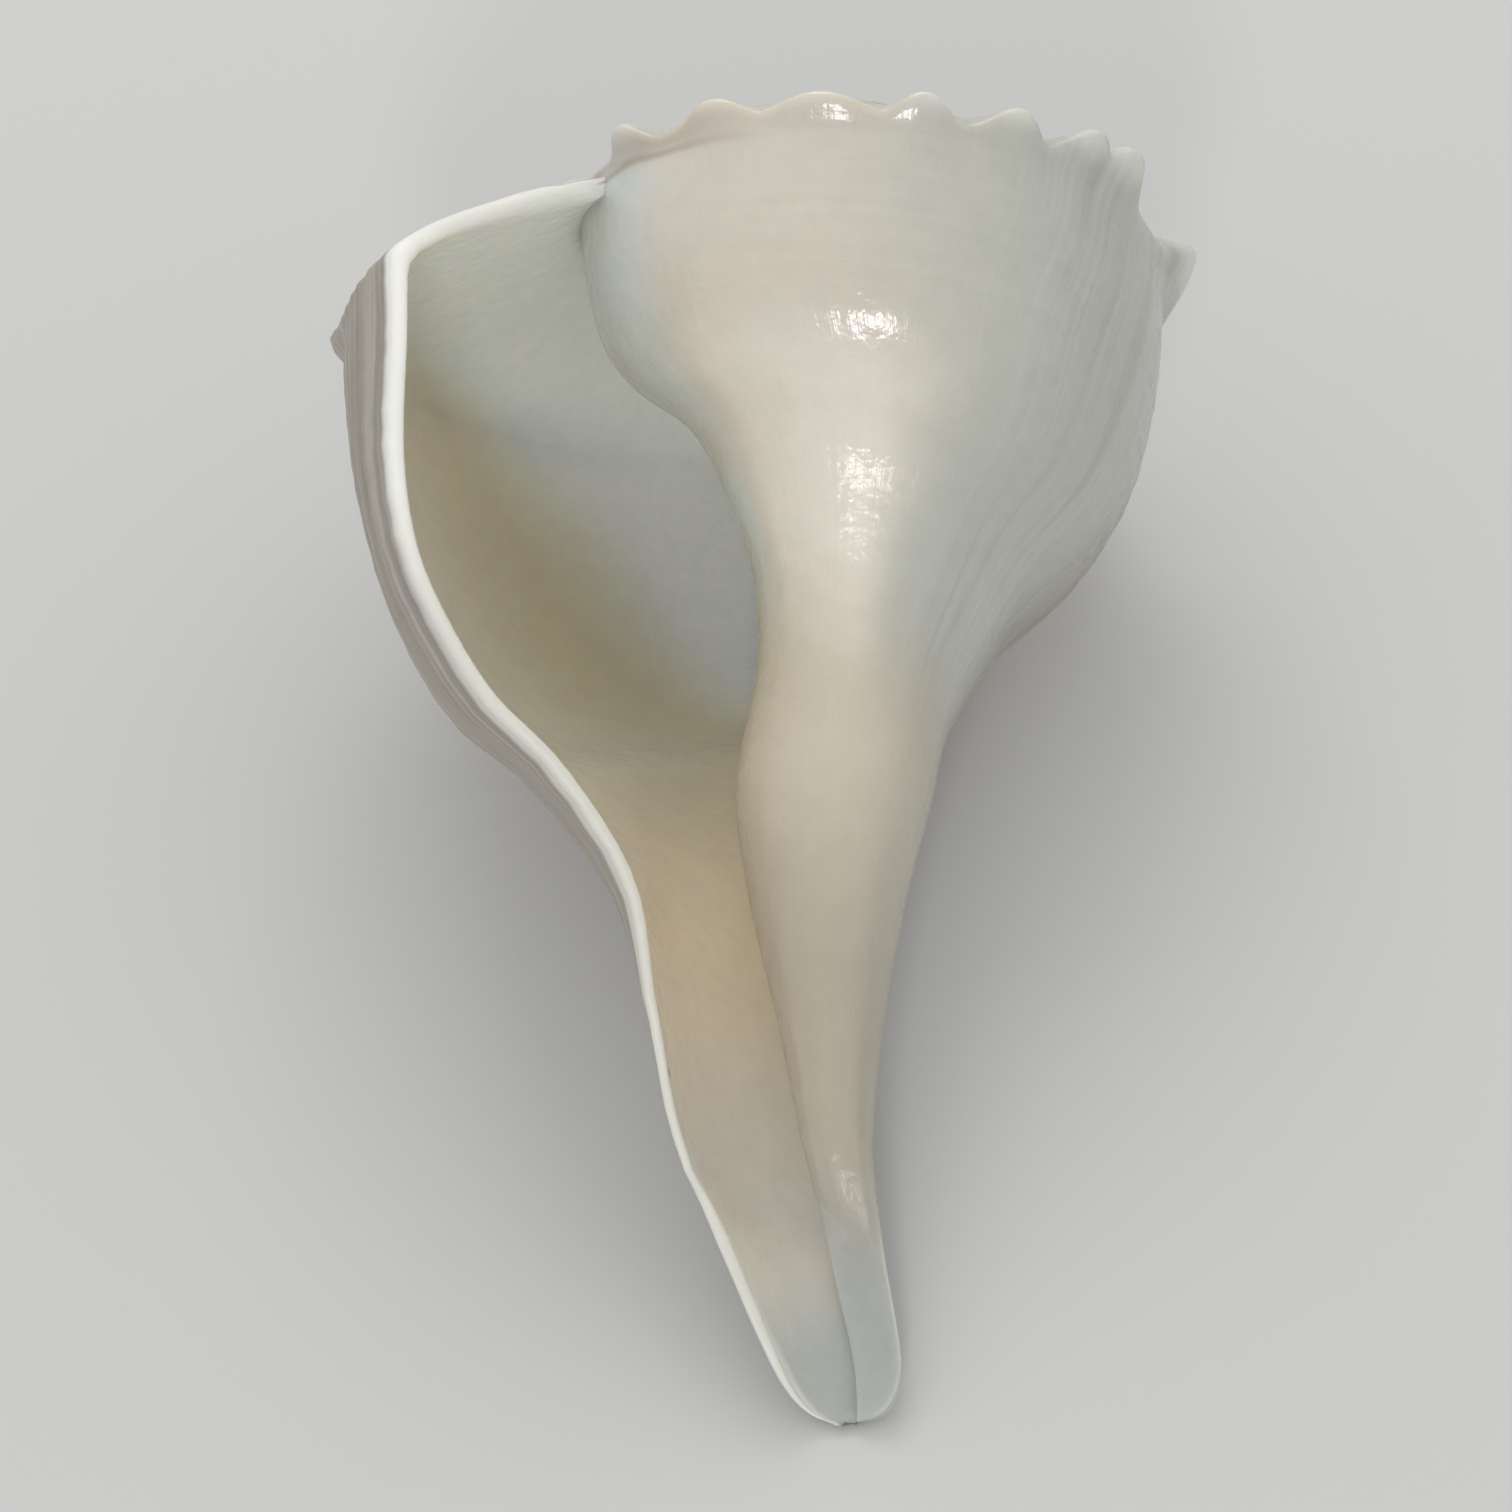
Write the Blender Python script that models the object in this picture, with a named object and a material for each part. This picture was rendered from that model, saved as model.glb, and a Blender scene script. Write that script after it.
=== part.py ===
"""Left-opening whelk shell, of the kind sold as a right-handed chank shell.

The shell grew as one piece, so it is one closed solid. It is first drawn in its own
growth frame, and then turned and lowered onto the flat spot that it rests on.

Growth frame: the axis of coiling runs along Y with the apex at the origin and the canal
towards -Y, X is to the right and Z is towards whoever looks into the aperture. A point has
- turn: its growth angle in degrees, 0 left, 90 front, 180 right, 270 back, 360 left again,
- station: its place on the lip's profile, from 0 at the suture to 1 at the canal's end.
Each whorl is the same profile, made smaller by a constant ratio for every turn back.
"""

import bmesh
import bpy
import numpy as np
from mathutils import Matrix, Vector

MM = 0.001

# Lip profile from the suture to the canal's end: station, radius, depth below the apex
LIP_PROFILE = (
    (0.00, 29.5 * MM, 20.5 * MM),
    (0.06, 45.0 * MM, 27.5 * MM),
    (0.12, 56.5 * MM, 34.0 * MM),
    (0.15, 61.0 * MM, 37.8 * MM),
    (0.18, 61.2 * MM, 40.5 * MM),
    (0.26, 60.9 * MM, 49.0 * MM),
    (0.36, 59.3 * MM, 62.5 * MM),
    (0.46, 54.8 * MM, 77.8 * MM),
    (0.55, 47.3 * MM, 91.0 * MM),
    (0.63, 37.4 * MM, 98.8 * MM),
    (0.70, 27.5 * MM, 110.0 * MM),
    (0.78, 23.6 * MM, 124.5 * MM),
    (0.86, 22.3 * MM, 138.3 * MM),
    (0.93, 18.9 * MM, 156.7 * MM),
    (1.00, 15.4 * MM, 170.5 * MM),
)
TURN_RATIO = 1.95
LIP_TURN = 393.3
# How far the lip's edge lies ahead of LIP_TURN along the profile: station, degrees
LIP_LEAD = (
    (0, 0),
    (0.25, 1.4),
    (0.45, -4.8),
    (0.6, 2.1),
    (0.7, 2.7),
    (0.8, -13.2),
    (0.9, -21.9),
    (1, -31),
)
# The earliest whorls lie this much deeper than the ratio alone would put them, up to about this scale
SPIRE_SINK = 2.4 * MM
SPIRE_SINK_SCALE = 0.25

# The canal draws in faster with each turn back, and shortens less, than the whorls do
CANAL_NARROWING = 6.3
CANAL_NARROWING_START = 0.43
CANAL_NARROWING_EASE = 2.2
CANAL_SHORTENING = 0.06
CANAL_SHORTENING_START = 0.54
CANAL_SHORTENING_RAMP = 0.26
CANAL_EVEN_FROM = 0.84

# Pillar at the middle of the coil: depth, radius
PILLAR = (
    (0, 3.0 * MM),
    (30 * MM, 5.0 * MM),
    (50 * MM, 6.0 * MM),
    (74 * MM, 7.1 * MM),
    (93 * MM, 10.3 * MM),
    (107 * MM, 7.9 * MM),
    (122 * MM, 4.7 * MM),
    (135 * MM, 3.2 * MM),
    (150 * MM, 2.3 * MM),
    (165 * MM, 2.1 * MM),
    (182 * MM, 2.8 * MM),
)
# Fillet where a whorl meets the pillar: depth, radius
PILLAR_FILLET = (
    (0, 1.75 * MM),
    (20 * MM, 1.75 * MM),
    (60 * MM, 5.0 * MM),
    (110 * MM, 5.0 * MM),
    (150 * MM, 2.0 * MM),
    (182 * MM, 2.0 * MM),
)
# The canal bends a little: depth, and shift of its middle to the side and towards the back
CANAL_SHIFT = (
    (0, 0),
    (80 * MM, 0),
    (110 * MM, -1.7 * MM),
    (135 * MM, -1.1 * MM),
    (150 * MM, 1.4 * MM),
    (165 * MM, 3.8 * MM),
    (182 * MM, 4.2 * MM),
)
CANAL_DROP = (
    (0, 0),
    (110 * MM, 0),
    (150 * MM, -1.0 * MM),
    (182 * MM, -3.0 * MM),
)
# Between these depths the canal flattens, to this share of its height about this line
FLAT_FROM = 145.0 * MM
FLAT_TO = 166.0 * MM
FLAT_SHARE = 0.5
FLAT_LINE_Z = -4.2 * MM
# The canal's end is rounded off in plan between these depths, and drawn in by this ratio
TIP_ROUND_START = 160.0 * MM
TIP_ROUND_END = 170.52 * MM
TIP_ROUND_POWER = 2.6
TIP_ROUND_LIMIT = 0.97
TIP_MIDDLE_X = 1.2 * MM
TIP_DRAWN_IN = 0.93

# Wall: station, thickness; it thins with each turn back by this power of the turn ratio
WALL_THINNING = 0.5
WALL = (
    (0, 2.2 * MM),
    (0.15, 2.8 * MM),
    (0.5, 2.2 * MM),
    (0.7, 2.0 * MM),
    (1, 1.7 * MM),
)

# Knobs on the shoulder: turn, height as a share of KNOB_HEIGHT, half width in degrees
LAST_KNOBS = (
    (350.0, 0.7, 12.0),
    (311.0, 0.95, 9.5),
    (272.0, 1.0, 9.0),
    (233.0, 1.05, 8.5),
    (193.5, 1.25, 7.5),
    (149.0, 0.75, 4.6),
    (141.5, 0.85, 5.0),
    (125.5, 0.72, 5.4),
    (108.0, 0.62, 5.6),
    (89.0, 0.52, 9.0),
    (68.0, 0.52, 6.5),
    (44.5, 0.72, 5.0),
    (10.0, 0.7, 7.0),
)
EARLIER_KNOB_STEP = 26.0
KNOB_HEIGHT = 8.0 * MM
KNOB_STATION = 0.15
KNOB_HALF_LENGTH = 0.027
KNOB_BLUNTNESS = 1.9
KNOB_OUTWARD = 0.8
KNOB_UPWARD = 0.4
KNOB_UPTURN = 0.3

# Stations where the next whorl lands on this one: its outer face, and its inner face
SUTURE_STATION = 0.19
INNER_SUTURE_STATION = 0.225
SUTURE_BLEND = 0.07
CEILING_BLEND = 0.10
# Below the pinch, the hollow shuts against the pillar at its crease; above it, the hollow
# winds on from the inner turn to the deep end
PINCH_START = 0.46
PINCH_END = 0.54
INNER_TURN = 150.0
DEEP_END_TURN = -210.0
# Where the hollow meets the pillar: station, turn
CREASE = (
    (0, INNER_TURN),
    (PINCH_END, INNER_TURN),
    (0.6, 162),
    (0.7, 195),
    (0.8, 228),
    (0.9, 250),
    (1, 262),
)
PINCH_DEGREES = 34.0

# Steps in turn and station between which a surface normal is measured
TURN_STEP = 0.4
STATION_STEP = 0.002

# Fineness of the faceted solid
FRONT_SHARE = 0.35
FRONT_ROWS = 28
BACK_ROWS = 36
HOLLOW_ROWS = 30
SPIRE_TURNS = 3
RAMP_STATIONS = (0, 0.04, 0.08, 0.12, KNOB_STATION, SUTURE_STATION)
FLANK_COLUMNS = 8
CANAL_COLUMNS = 10
END_FROM = 0.94
END_COLUMNS = 4
DEEP_ROWS = 20
# Points closer than the weld become one; the floor cut takes points this close to it as on it
WELD = 0.001 * MM
CUT_TOLERANCE = 0.0001 * MM
# The spire's last opening lies this close to the apex
APEX_REACH = 10 * MM

# Resting attitude, found by letting the shell settle on its back, and the worn flat spots
REST_PITCH = 19.4
REST_ROLL = 3.0
FLAT_DEPTH = 0.6 * MM

SHELL_COLOUR = (0.78, 0.72, 0.63, 1.0)
SHELL_ROUGHNESS = 0.32


def smooth_step(low, high, value):
    """0 below low, 1 above high, and a smooth ramp between them."""
    share = np.clip((value - low) / (high - low), 0, 1)
    return share * share * (3 - 2 * share)


def cubic_through(points, slopes, value):
    """Cubic curve through points, with the given slope at each of them."""
    places = np.array([point[0] for point in points], float)
    heights = np.array([point[1] for point in points], float)
    value = np.clip(value, places[0], places[-1])
    k = np.clip(np.searchsorted(places, value, side="right") - 1, 0, len(places) - 2)
    gap = places[k + 1] - places[k]
    t = (value - places[k]) / gap
    start = (2 * t**3 - 3 * t**2 + 1) * heights[k] + (t**3 - 2 * t**2 + t) * gap * slopes[k]
    end = (3 * t**2 - 2 * t**3) * heights[k + 1] + (t**3 - t**2) * gap * slopes[k + 1]
    return start + end


def steps_of(points):
    """Gaps between the points, and the slope across each gap."""
    table = np.array([(point[0], point[1]) for point in points], float)
    gaps = np.diff(table[:, 0])
    return gaps, np.diff(table[:, 1]) / gaps


def level_curve(points, value):
    """Curve that never overshoots the points' heights."""
    gaps, rises = steps_of(points)
    slopes = np.empty(len(points))
    slopes[0] = rises[0]
    slopes[-1] = rises[-1]
    for i in range(1, len(points) - 1):
        if rises[i - 1] * rises[i] <= 0:
            slopes[i] = 0
            continue
        before = 2 * gaps[i] + gaps[i - 1]
        after = gaps[i] + 2 * gaps[i - 1]
        slopes[i] = (before + after) / (before / rises[i - 1] + after / rises[i])
    return cubic_through(points, slopes, value)


def round_curve(points, value):
    """Curve that keeps turning evenly through the points."""
    gaps, rises = steps_of(points)
    slopes = np.empty(len(points))
    slopes[0] = rises[0]
    slopes[-1] = rises[-1]
    slopes[1:-1] = (rises[:-1] * gaps[1:] + rises[1:] * gaps[:-1]) / (gaps[1:] + gaps[:-1])
    return cubic_through(points, slopes, value)


def knob_share(turn, station):
    """Height of the knobs at a place on the shoulder, as a share of KNOB_HEIGHT."""
    share = np.zeros(np.broadcast(turn, station).shape)
    along = np.exp(-(np.abs((station - KNOB_STATION) / KNOB_HALF_LENGTH) ** KNOB_BLUNTNESS))
    knobs = list(LAST_KNOBS)
    _, height, half_width = LAST_KNOBS[-1]
    first_turn = LIP_TURN - 360 * (SPIRE_TURNS + 1)
    while knobs[-1][0] > first_turn:
        knobs.append((knobs[-1][0] - EARLIER_KNOB_STEP, height, half_width))
    for place, height, half_width in knobs:
        across = np.exp(-(np.abs((turn - place) / half_width) ** KNOB_BLUNTNESS))
        share = np.maximum(share, height * across * along)
    return share * (1 - smooth_step(SUTURE_STATION, INNER_SUTURE_STATION, station))


def radius_and_depth(turn, station, knobs):
    """Radius about the axis and depth below the apex of a place on the growing whorl."""
    turns_back = (turn - LIP_TURN) / 360
    scale = TURN_RATIO**turns_back
    canal = np.clip((station - CANAL_NARROWING_START) / (1 - CANAL_NARROWING_START), 0, 1)
    radial_power = 1 + (CANAL_NARROWING - 1) * canal**CANAL_NARROWING_EASE
    low = np.clip((station - CANAL_SHORTENING_START) / (1 - CANAL_SHORTENING_START), 0, 1)
    shortening = CANAL_SHORTENING * (1 - smooth_step(CANAL_EVEN_FROM, 1, station))
    axial_power = 1 - (1 - shortening) * low * smooth_step(0, CANAL_SHORTENING_RAMP, low)
    radius = round_curve([(s, r) for s, r, _ in LIP_PROFILE], station)
    depth = round_curve([(s, d) for s, _, d in LIP_PROFILE], station)
    radius = radius * TURN_RATIO ** (radial_power * turns_back)
    depth = depth * TURN_RATIO ** (axial_power * turns_back)
    depth = depth + SPIRE_SINK * np.exp(-((scale / SPIRE_SINK_SCALE) ** 2))
    pillar = level_curve(PILLAR, depth)
    fillet = level_curve(PILLAR_FILLET, depth)
    above = radius - pillar
    radius = pillar + (above + np.sqrt(above * above + fillet * fillet)) / 2
    if knobs:
        share = knob_share(turn, station)
        rise = KNOB_HEIGHT * share * scale
        radius = radius + KNOB_OUTWARD * rise
        depth = depth - (KNOB_UPWARD + KNOB_UPTURN * share) * rise
    return radius, depth


def grown_point(turn, station, knobs):
    """Place on the growing whorl, before it is drawn to the whorl before it."""
    radius, depth = radius_and_depth(turn, station, knobs)
    angle = np.radians(turn)
    x = level_curve(CANAL_SHIFT, depth) - radius * np.cos(angle)
    z = level_curve(CANAL_DROP, depth) + radius * np.sin(angle)
    return np.stack(np.broadcast_arrays(x, -depth, z), -1)


def outer_point(turn, station, knobs=True):
    """Place on the outer face: near the suture it comes down onto the whorl before it."""
    turn, station = np.broadcast_arrays(np.asarray(turn, float), np.asarray(station, float))
    landing = grown_point(turn - 360, np.full_like(station, SUTURE_STATION), knobs)
    edge = grown_point(turn, np.zeros_like(station), knobs)
    near = (1 - smooth_step(0, SUTURE_BLEND, station))[..., None]
    return grown_point(turn, station, knobs) + (landing - edge) * near


def outward(turn, station):
    """Unit normal of the outer face, without the knobs."""
    ahead = outer_point(turn + TURN_STEP, station, False)
    back = outer_point(turn - TURN_STEP, station, False)
    low = outer_point(turn, np.minimum(station + STATION_STEP, 1), False)
    high = outer_point(turn, np.maximum(station - STATION_STEP, 0), False)
    normal = np.cross(low - high, ahead - back)
    return normal / np.linalg.norm(normal, axis=-1, keepdims=True)


def station_behind(station):
    """Station on the whorl before, which the hollow's floor meets at this station."""
    share = INNER_SUTURE_STATION + station * (PINCH_END - INNER_SUTURE_STATION) / PINCH_END
    return np.where(station < PINCH_END, share, station)


def inner_point(turn, station):
    """Place on the inner face, a wall's thickness inside the outer face."""
    turn, station = np.broadcast_arrays(np.asarray(turn, float), np.asarray(station, float))
    thinning = TURN_RATIO ** (WALL_THINNING * (turn - LIP_TURN) / 360)
    thickness = (level_curve(WALL, station) * thinning)[..., None]
    free = outer_point(turn, station, False) - thickness * outward(turn, station)
    behind = outer_point(turn - 360, station_behind(station), False)
    past_crease = smooth_step(0, 1, (turn - level_curve(CREASE, station)) / PINCH_DEGREES)
    pinch = smooth_step(PINCH_START, PINCH_END, station)
    share = (1 - pinch * (1 - past_crease)) * smooth_step(0, CEILING_BLEND, station)
    return behind + (free - behind) * share[..., None]


def with_round_end(points):
    """The same places with the canal's end flattened and rounded off."""
    depth = -points[..., 1]
    height = 1 - (1 - FLAT_SHARE) * smooth_step(FLAT_FROM, FLAT_TO, depth)
    z = FLAT_LINE_Z + (points[..., 2] - FLAT_LINE_Z) * height
    share = (depth - TIP_ROUND_START) / (TIP_ROUND_END - TIP_ROUND_START)
    share = np.clip(share, 0, TIP_ROUND_LIMIT)
    width = (1 - share**TIP_ROUND_POWER) ** (1 / TIP_ROUND_POWER)
    x = TIP_MIDDLE_X + (points[..., 0] - TIP_MIDDLE_X) * width
    past = np.maximum(depth - TIP_ROUND_START, 0)
    return np.stack([x, (1 - TIP_DRAWN_IN) * past - depth, z], -1)


def lip_turn(station):
    """Turn at which the lip's edge stands at a station."""
    return LIP_TURN + round_curve(LIP_LEAD, station)


def shell_patches():
    """Grids of points that together close the shell."""
    start = LIP_TURN - 360
    ramp = np.array(RAMP_STATIONS)
    flank = np.linspace(INNER_SUTURE_STATION, PINCH_END, FLANK_COLUMNS + 1)
    canal = np.linspace(PINCH_END, END_FROM, CANAL_COLUMNS + 1)
    end = 1 - (1 - END_FROM) * np.linspace(1, 0, END_COLUMNS + 1) ** 2
    low = np.concatenate([flank, canal[1:], end[1:]])
    every = np.concatenate([ramp, low])
    body = np.concatenate([ramp, flank])
    rows = np.concatenate([
        np.linspace(0, FRONT_SHARE, FRONT_ROWS, endpoint=False),
        np.linspace(FRONT_SHARE, 1, BACK_ROWS + 1),
    ])[:, None]
    inner_rows = np.linspace(0, 1, HOLLOW_ROWS + 1)[:, None]

    last_whorl = outer_point(start + (lip_turn(every) - start) * rows, every)
    crease = level_curve(CREASE, every)
    hollow = inner_point(crease + (lip_turn(every) - crease) * inner_rows, every)
    crease_behind = level_curve(CREASE, low) - 360
    pillar_side = outer_point(crease_behind + (start - crease_behind) * inner_rows, low)
    rim = np.stack([last_whorl[-1], hollow[-1]])
    deep_turns = np.linspace(DEEP_END_TURN, INNER_TURN, DEEP_ROWS + 1)[:, None]
    deep_hollow = inner_point(deep_turns, body)
    deep_pillar = outer_point(deep_turns - 360, flank)
    spire = [outer_point(start - 360 * back + 360 * rows, ramp) for back in range(1, SPIRE_TURNS + 1)]
    patches = (last_whorl, hollow, pillar_side, rim, deep_hollow, deep_pillar, *spire)
    return [with_round_end(patch) for patch in patches]


def add_patch(mesh, points):
    """Add one grid of points to the mesh as four-sided faces."""
    rows, columns = points.shape[:2]
    verts = [[mesh.verts.new(Vector(points[i, j])) for j in range(columns)] for i in range(rows)]
    for i in range(rows - 1):
        for j in range(columns - 1):
            mesh.faces.new((verts[i][j], verts[i + 1][j], verts[i + 1][j + 1], verts[i][j + 1]))


def open_loops(mesh):
    """Closed loops of the mesh's open edges, each as a list of edges."""
    left = {edge for edge in mesh.edges if edge.is_boundary}
    loops = []
    while left:
        edge = left.pop()
        loop = [edge]
        ends = list(edge.verts)
        while ends:
            vert = ends.pop()
            for other in vert.link_edges:
                if other in left:
                    left.remove(other)
                    loop.append(other)
                    ends.append(other.other_vert(vert))
        loops.append(loop)
    return loops


def close_apex(mesh, loop):
    """Close the tip of the spire with a small dome."""
    apex = mesh.verts.new(Vector((0, -SPIRE_SINK, 0)))
    for edge in loop:
        mesh.faces.new((edge.verts[0], edge.verts[1], apex))


def close_openings(mesh):
    """Close the apex, the deep end of the hollow and the end face of the canal."""
    for loop in open_loops(mesh):
        reach = max(edge.verts[0].co.length for edge in loop)
        if reach < APEX_REACH:
            close_apex(mesh, loop)
        else:
            bmesh.ops.triangle_fill(mesh, edges=loop, use_beauty=True)


def settle(mesh):
    """Turn the shell onto its back, cut the flat spots and put the origin under its middle."""
    pitched = Matrix.Rotation(np.radians(REST_PITCH), 3, "X")
    rolled = Matrix.Rotation(np.radians(REST_ROLL), 3, "Y")
    bmesh.ops.rotate(mesh, verts=mesh.verts, cent=(0, 0, 0), matrix=pitched @ rolled)
    floor = min(vert.co.z for vert in mesh.verts) + FLAT_DEPTH
    everything = mesh.verts[:] + mesh.edges[:] + mesh.faces[:]
    cut = bmesh.ops.bisect_plane(
        mesh,
        geom=everything,
        dist=CUT_TOLERANCE,
        plane_co=(0, 0, floor),
        plane_no=(0, 0, -1),
        clear_outer=True,
    )
    edges = [item for item in cut["geom_cut"] if isinstance(item, bmesh.types.BMEdge)]
    bmesh.ops.contextual_create(mesh, geom=edges)
    low = Vector([min(vert.co[i] for vert in mesh.verts) for i in range(3)])
    high = Vector([max(vert.co[i] for vert in mesh.verts) for i in range(3)])
    bmesh.ops.translate(mesh, verts=mesh.verts, vec=(-(low.x + high.x) / 2, -(low.y + high.y) / 2, -floor))


def shell_material():
    """Glazed cream shell."""
    material = bpy.data.materials.new("glazed_cream_shell")
    material.use_nodes = True
    shader = material.node_tree.nodes["Principled BSDF"]
    shader.inputs["Base Color"].default_value = SHELL_COLOUR
    shader.inputs["Roughness"].default_value = SHELL_ROUGHNESS
    shader.inputs["Metallic"].default_value = 0.0
    return material


def build_shell():
    """Model the shell as one object named shell."""
    mesh = bmesh.new()
    for patch in shell_patches():
        add_patch(mesh, patch)
    bmesh.ops.remove_doubles(mesh, verts=mesh.verts, dist=WELD)
    close_openings(mesh)
    bmesh.ops.recalc_face_normals(mesh, faces=mesh.faces)
    settle(mesh)
    bmesh.ops.triangulate(mesh, faces=mesh.faces)
    data = bpy.data.meshes.new("shell")
    mesh.to_mesh(data)
    mesh.free()
    data.shade_smooth()
    data.materials.append(shell_material())
    shell = bpy.data.objects.new("shell", data)
    bpy.context.scene.collection.objects.link(shell)
    return shell


for leftover in list(bpy.data.objects):
    bpy.data.objects.remove(leftover)
build_shell()
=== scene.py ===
"""Looks of a left-opening whelk shell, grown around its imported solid.

The fine shell follows the same rules of growth as the solid: one lip profile, made smaller by a
constant ratio for every turn back. It adds what the solid leaves out: round knobs, a rounded lip,
growth ripples, the glaze over the earlier whorl, and the colours of each region.

Growth frame: the axis of coiling runs along Y with the apex at the origin and the canal towards
-Y, X is to the right and Z is towards whoever looks into the aperture. A place has
- turn: its growth angle in degrees, 0 left, 90 front, 180 right, 270 back, 360 left again,
- station: its place on the lip's profile, from 0 at the suture to 1 at the canal's end.
"""

import logging
import math
from dataclasses import dataclass
from enum import Enum
from typing import Any

import bmesh
import bpy
import numpy as np
from mathutils import Euler, Matrix, Vector
from mathutils.geometry import tessellate_polygon


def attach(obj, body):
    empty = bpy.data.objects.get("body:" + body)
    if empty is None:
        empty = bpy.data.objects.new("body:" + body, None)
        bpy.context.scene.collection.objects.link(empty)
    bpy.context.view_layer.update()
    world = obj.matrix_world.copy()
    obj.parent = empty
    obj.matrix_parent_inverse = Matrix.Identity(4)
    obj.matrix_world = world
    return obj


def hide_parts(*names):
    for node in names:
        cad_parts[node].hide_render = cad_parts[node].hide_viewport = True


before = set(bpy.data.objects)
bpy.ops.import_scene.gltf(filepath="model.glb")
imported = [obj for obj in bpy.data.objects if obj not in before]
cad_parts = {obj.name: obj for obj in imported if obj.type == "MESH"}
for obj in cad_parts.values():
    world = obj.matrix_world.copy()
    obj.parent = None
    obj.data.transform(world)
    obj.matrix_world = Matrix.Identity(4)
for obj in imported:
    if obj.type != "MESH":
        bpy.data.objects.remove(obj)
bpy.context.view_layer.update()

LOG = logging.getLogger("shell")
MM = 0.001
TURN = 360.0
TINY = 1e-12
Table = tuple[tuple[float, ...], ...]
Colour = tuple[float, float, float]


class CurveStyle(Enum):
    """How a curve passes through its points."""

    LEVEL = "never overshoots the points' heights"
    ROUND = "keeps turning evenly through the points"


def smooth_step(low: float, high: float, value: np.ndarray) -> np.ndarray:
    """A smooth ramp from 0 to 1.

    Args:
        low: Where the ramp starts.
        high: Where the ramp ends.
        value: The places to read it at.

    Returns:
        0 below low, 1 above high, and a smooth rise between them.
    """
    share = np.clip((value - low) / (high - low), 0, 1)
    return share * share * (3 - 2 * share)


@dataclass(frozen=True)
class Curve:
    """A smooth curve through a few given points of (place, height)."""

    points: Table
    style: CurveStyle = CurveStyle.LEVEL

    def slopes(self) -> np.ndarray:
        """Work out the slope at each point.

        Returns:
            One slope for each point.
        """
        table = np.array(self.points, float)
        gaps = np.diff(table[:, 0])
        rises = np.diff(table[:, 1]) / gaps
        slopes = np.empty(len(table))
        slopes[0] = rises[0]
        slopes[-1] = rises[-1]
        if self.style is CurveStyle.ROUND:
            slopes[1:-1] = (rises[:-1] * gaps[1:] + rises[1:] * gaps[:-1]) / (gaps[1:] + gaps[:-1])
            return slopes
        for i in range(1, len(table) - 1):
            if rises[i - 1] * rises[i] <= 0:
                slopes[i] = 0
                continue
            before = 2 * gaps[i] + gaps[i - 1]
            after = gaps[i] + 2 * gaps[i - 1]
            slopes[i] = (before + after) / (before / rises[i - 1] + after / rises[i])
        return slopes

    def at(self, value: np.ndarray) -> np.ndarray:
        """Read the curve.

        Args:
            value: Places along the curve; past its ends the end heights hold.

        Returns:
            The curve's height at each place.
        """
        table = np.array(self.points, float)
        places = table[:, 0]
        heights = table[:, 1]
        slopes = self.slopes()
        value = np.clip(value, places[0], places[-1])
        k = np.clip(np.searchsorted(places, value, side="right") - 1, 0, len(places) - 2)
        gap = places[k + 1] - places[k]
        t = (value - places[k]) / gap
        start = (2 * t**3 - 3 * t**2 + 1) * heights[k] + (t**3 - 2 * t**2 + t) * gap * slopes[k]
        end = (3 * t**2 - 2 * t**3) * heights[k + 1] + (t**3 - t**2) * gap * slopes[k + 1]
        return start + end


@dataclass(frozen=True)
class Suture:
    """Stations where the next whorl lands on this one, and how softly it lands."""

    outer: float = 0.19
    inner: float = 0.225
    outer_blend: float = 0.07
    ceiling_blend: float = 0.10


@dataclass(frozen=True)
class KnobRow:
    """The shoulder's knobs: (turn, share of height, half width in degrees, fullness, length)."""

    last: Table = (
        (350.0, 0.7, 12.0, 1.3, 1.0), (311.0, 0.95, 9.5, 1.3, 1.0), (272.0, 1.0, 9.0, 1.3, 1.0),
        (233.0, 1.05, 8.5, 1.5, 1.1), (193.0, 1.08, 8.5, 3.2, 1.5), (151.0, 1.0, 6.0, 1.5, 1.2),
        (141.5, 0.95, 5.6, 1.3, 1.0), (125.5, 0.80, 5.4, 1.3, 1.0), (108.0, 0.76, 5.4, 1.3, 1.0),
        (89.0, 0.60, 9.0, 1.3, 1.0), (68.0, 0.70, 7.0, 1.3, 1.0), (44.5, 0.74, 4.8, 1.6, 1.0),
        (10.0, 0.7, 7.0, 1.3, 1.0),
    )
    earlier_step: float = 26.0
    earlier: tuple[float, ...] = (0.30, 8.0, 1.3, 1.0)
    first_turn: float = -1400.0
    height: float = 8.0 * MM
    station: float = 0.15
    half_length: float = 0.027
    bluntness: float = 1.9
    outward: float = 0.8
    upward: float = 0.4
    upturn: float = 0.3

    def all(self) -> list[tuple[float, ...]]:
        """List the knobs of every whorl.

        Returns:
            The last whorl's knobs, and evenly spaced ones before them.
        """
        knobs = list(self.last)
        while knobs[-1][0] > self.first_turn:
            knobs.append((knobs[-1][0] - self.earlier_step, *self.earlier))
        return knobs

    def share(self, turn: np.ndarray, station: np.ndarray) -> np.ndarray:
        """Height of the knobs, as a share of a full knob.

        Args:
            turn: Growth angles in degrees.
            station: Places on the lip's profile.

        Returns:
            About 1 on a knob's tip, and 0 away from the knobs.
        """
        rise = np.zeros(np.broadcast(turn, station).shape)
        away = np.abs((station - self.station) / self.half_length)
        for place, height, half_width, fullness, length in self.all():
            along = np.exp(-((away / length) ** self.bluntness))
            across = np.exp(-(np.abs((turn - place) / half_width) ** self.bluntness))
            rise = np.maximum(rise, height * (1 - (1 - across * along) ** fullness))
        return rise * (1 - smooth_step(Suture.outer, Suture.inner, station))


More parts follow.
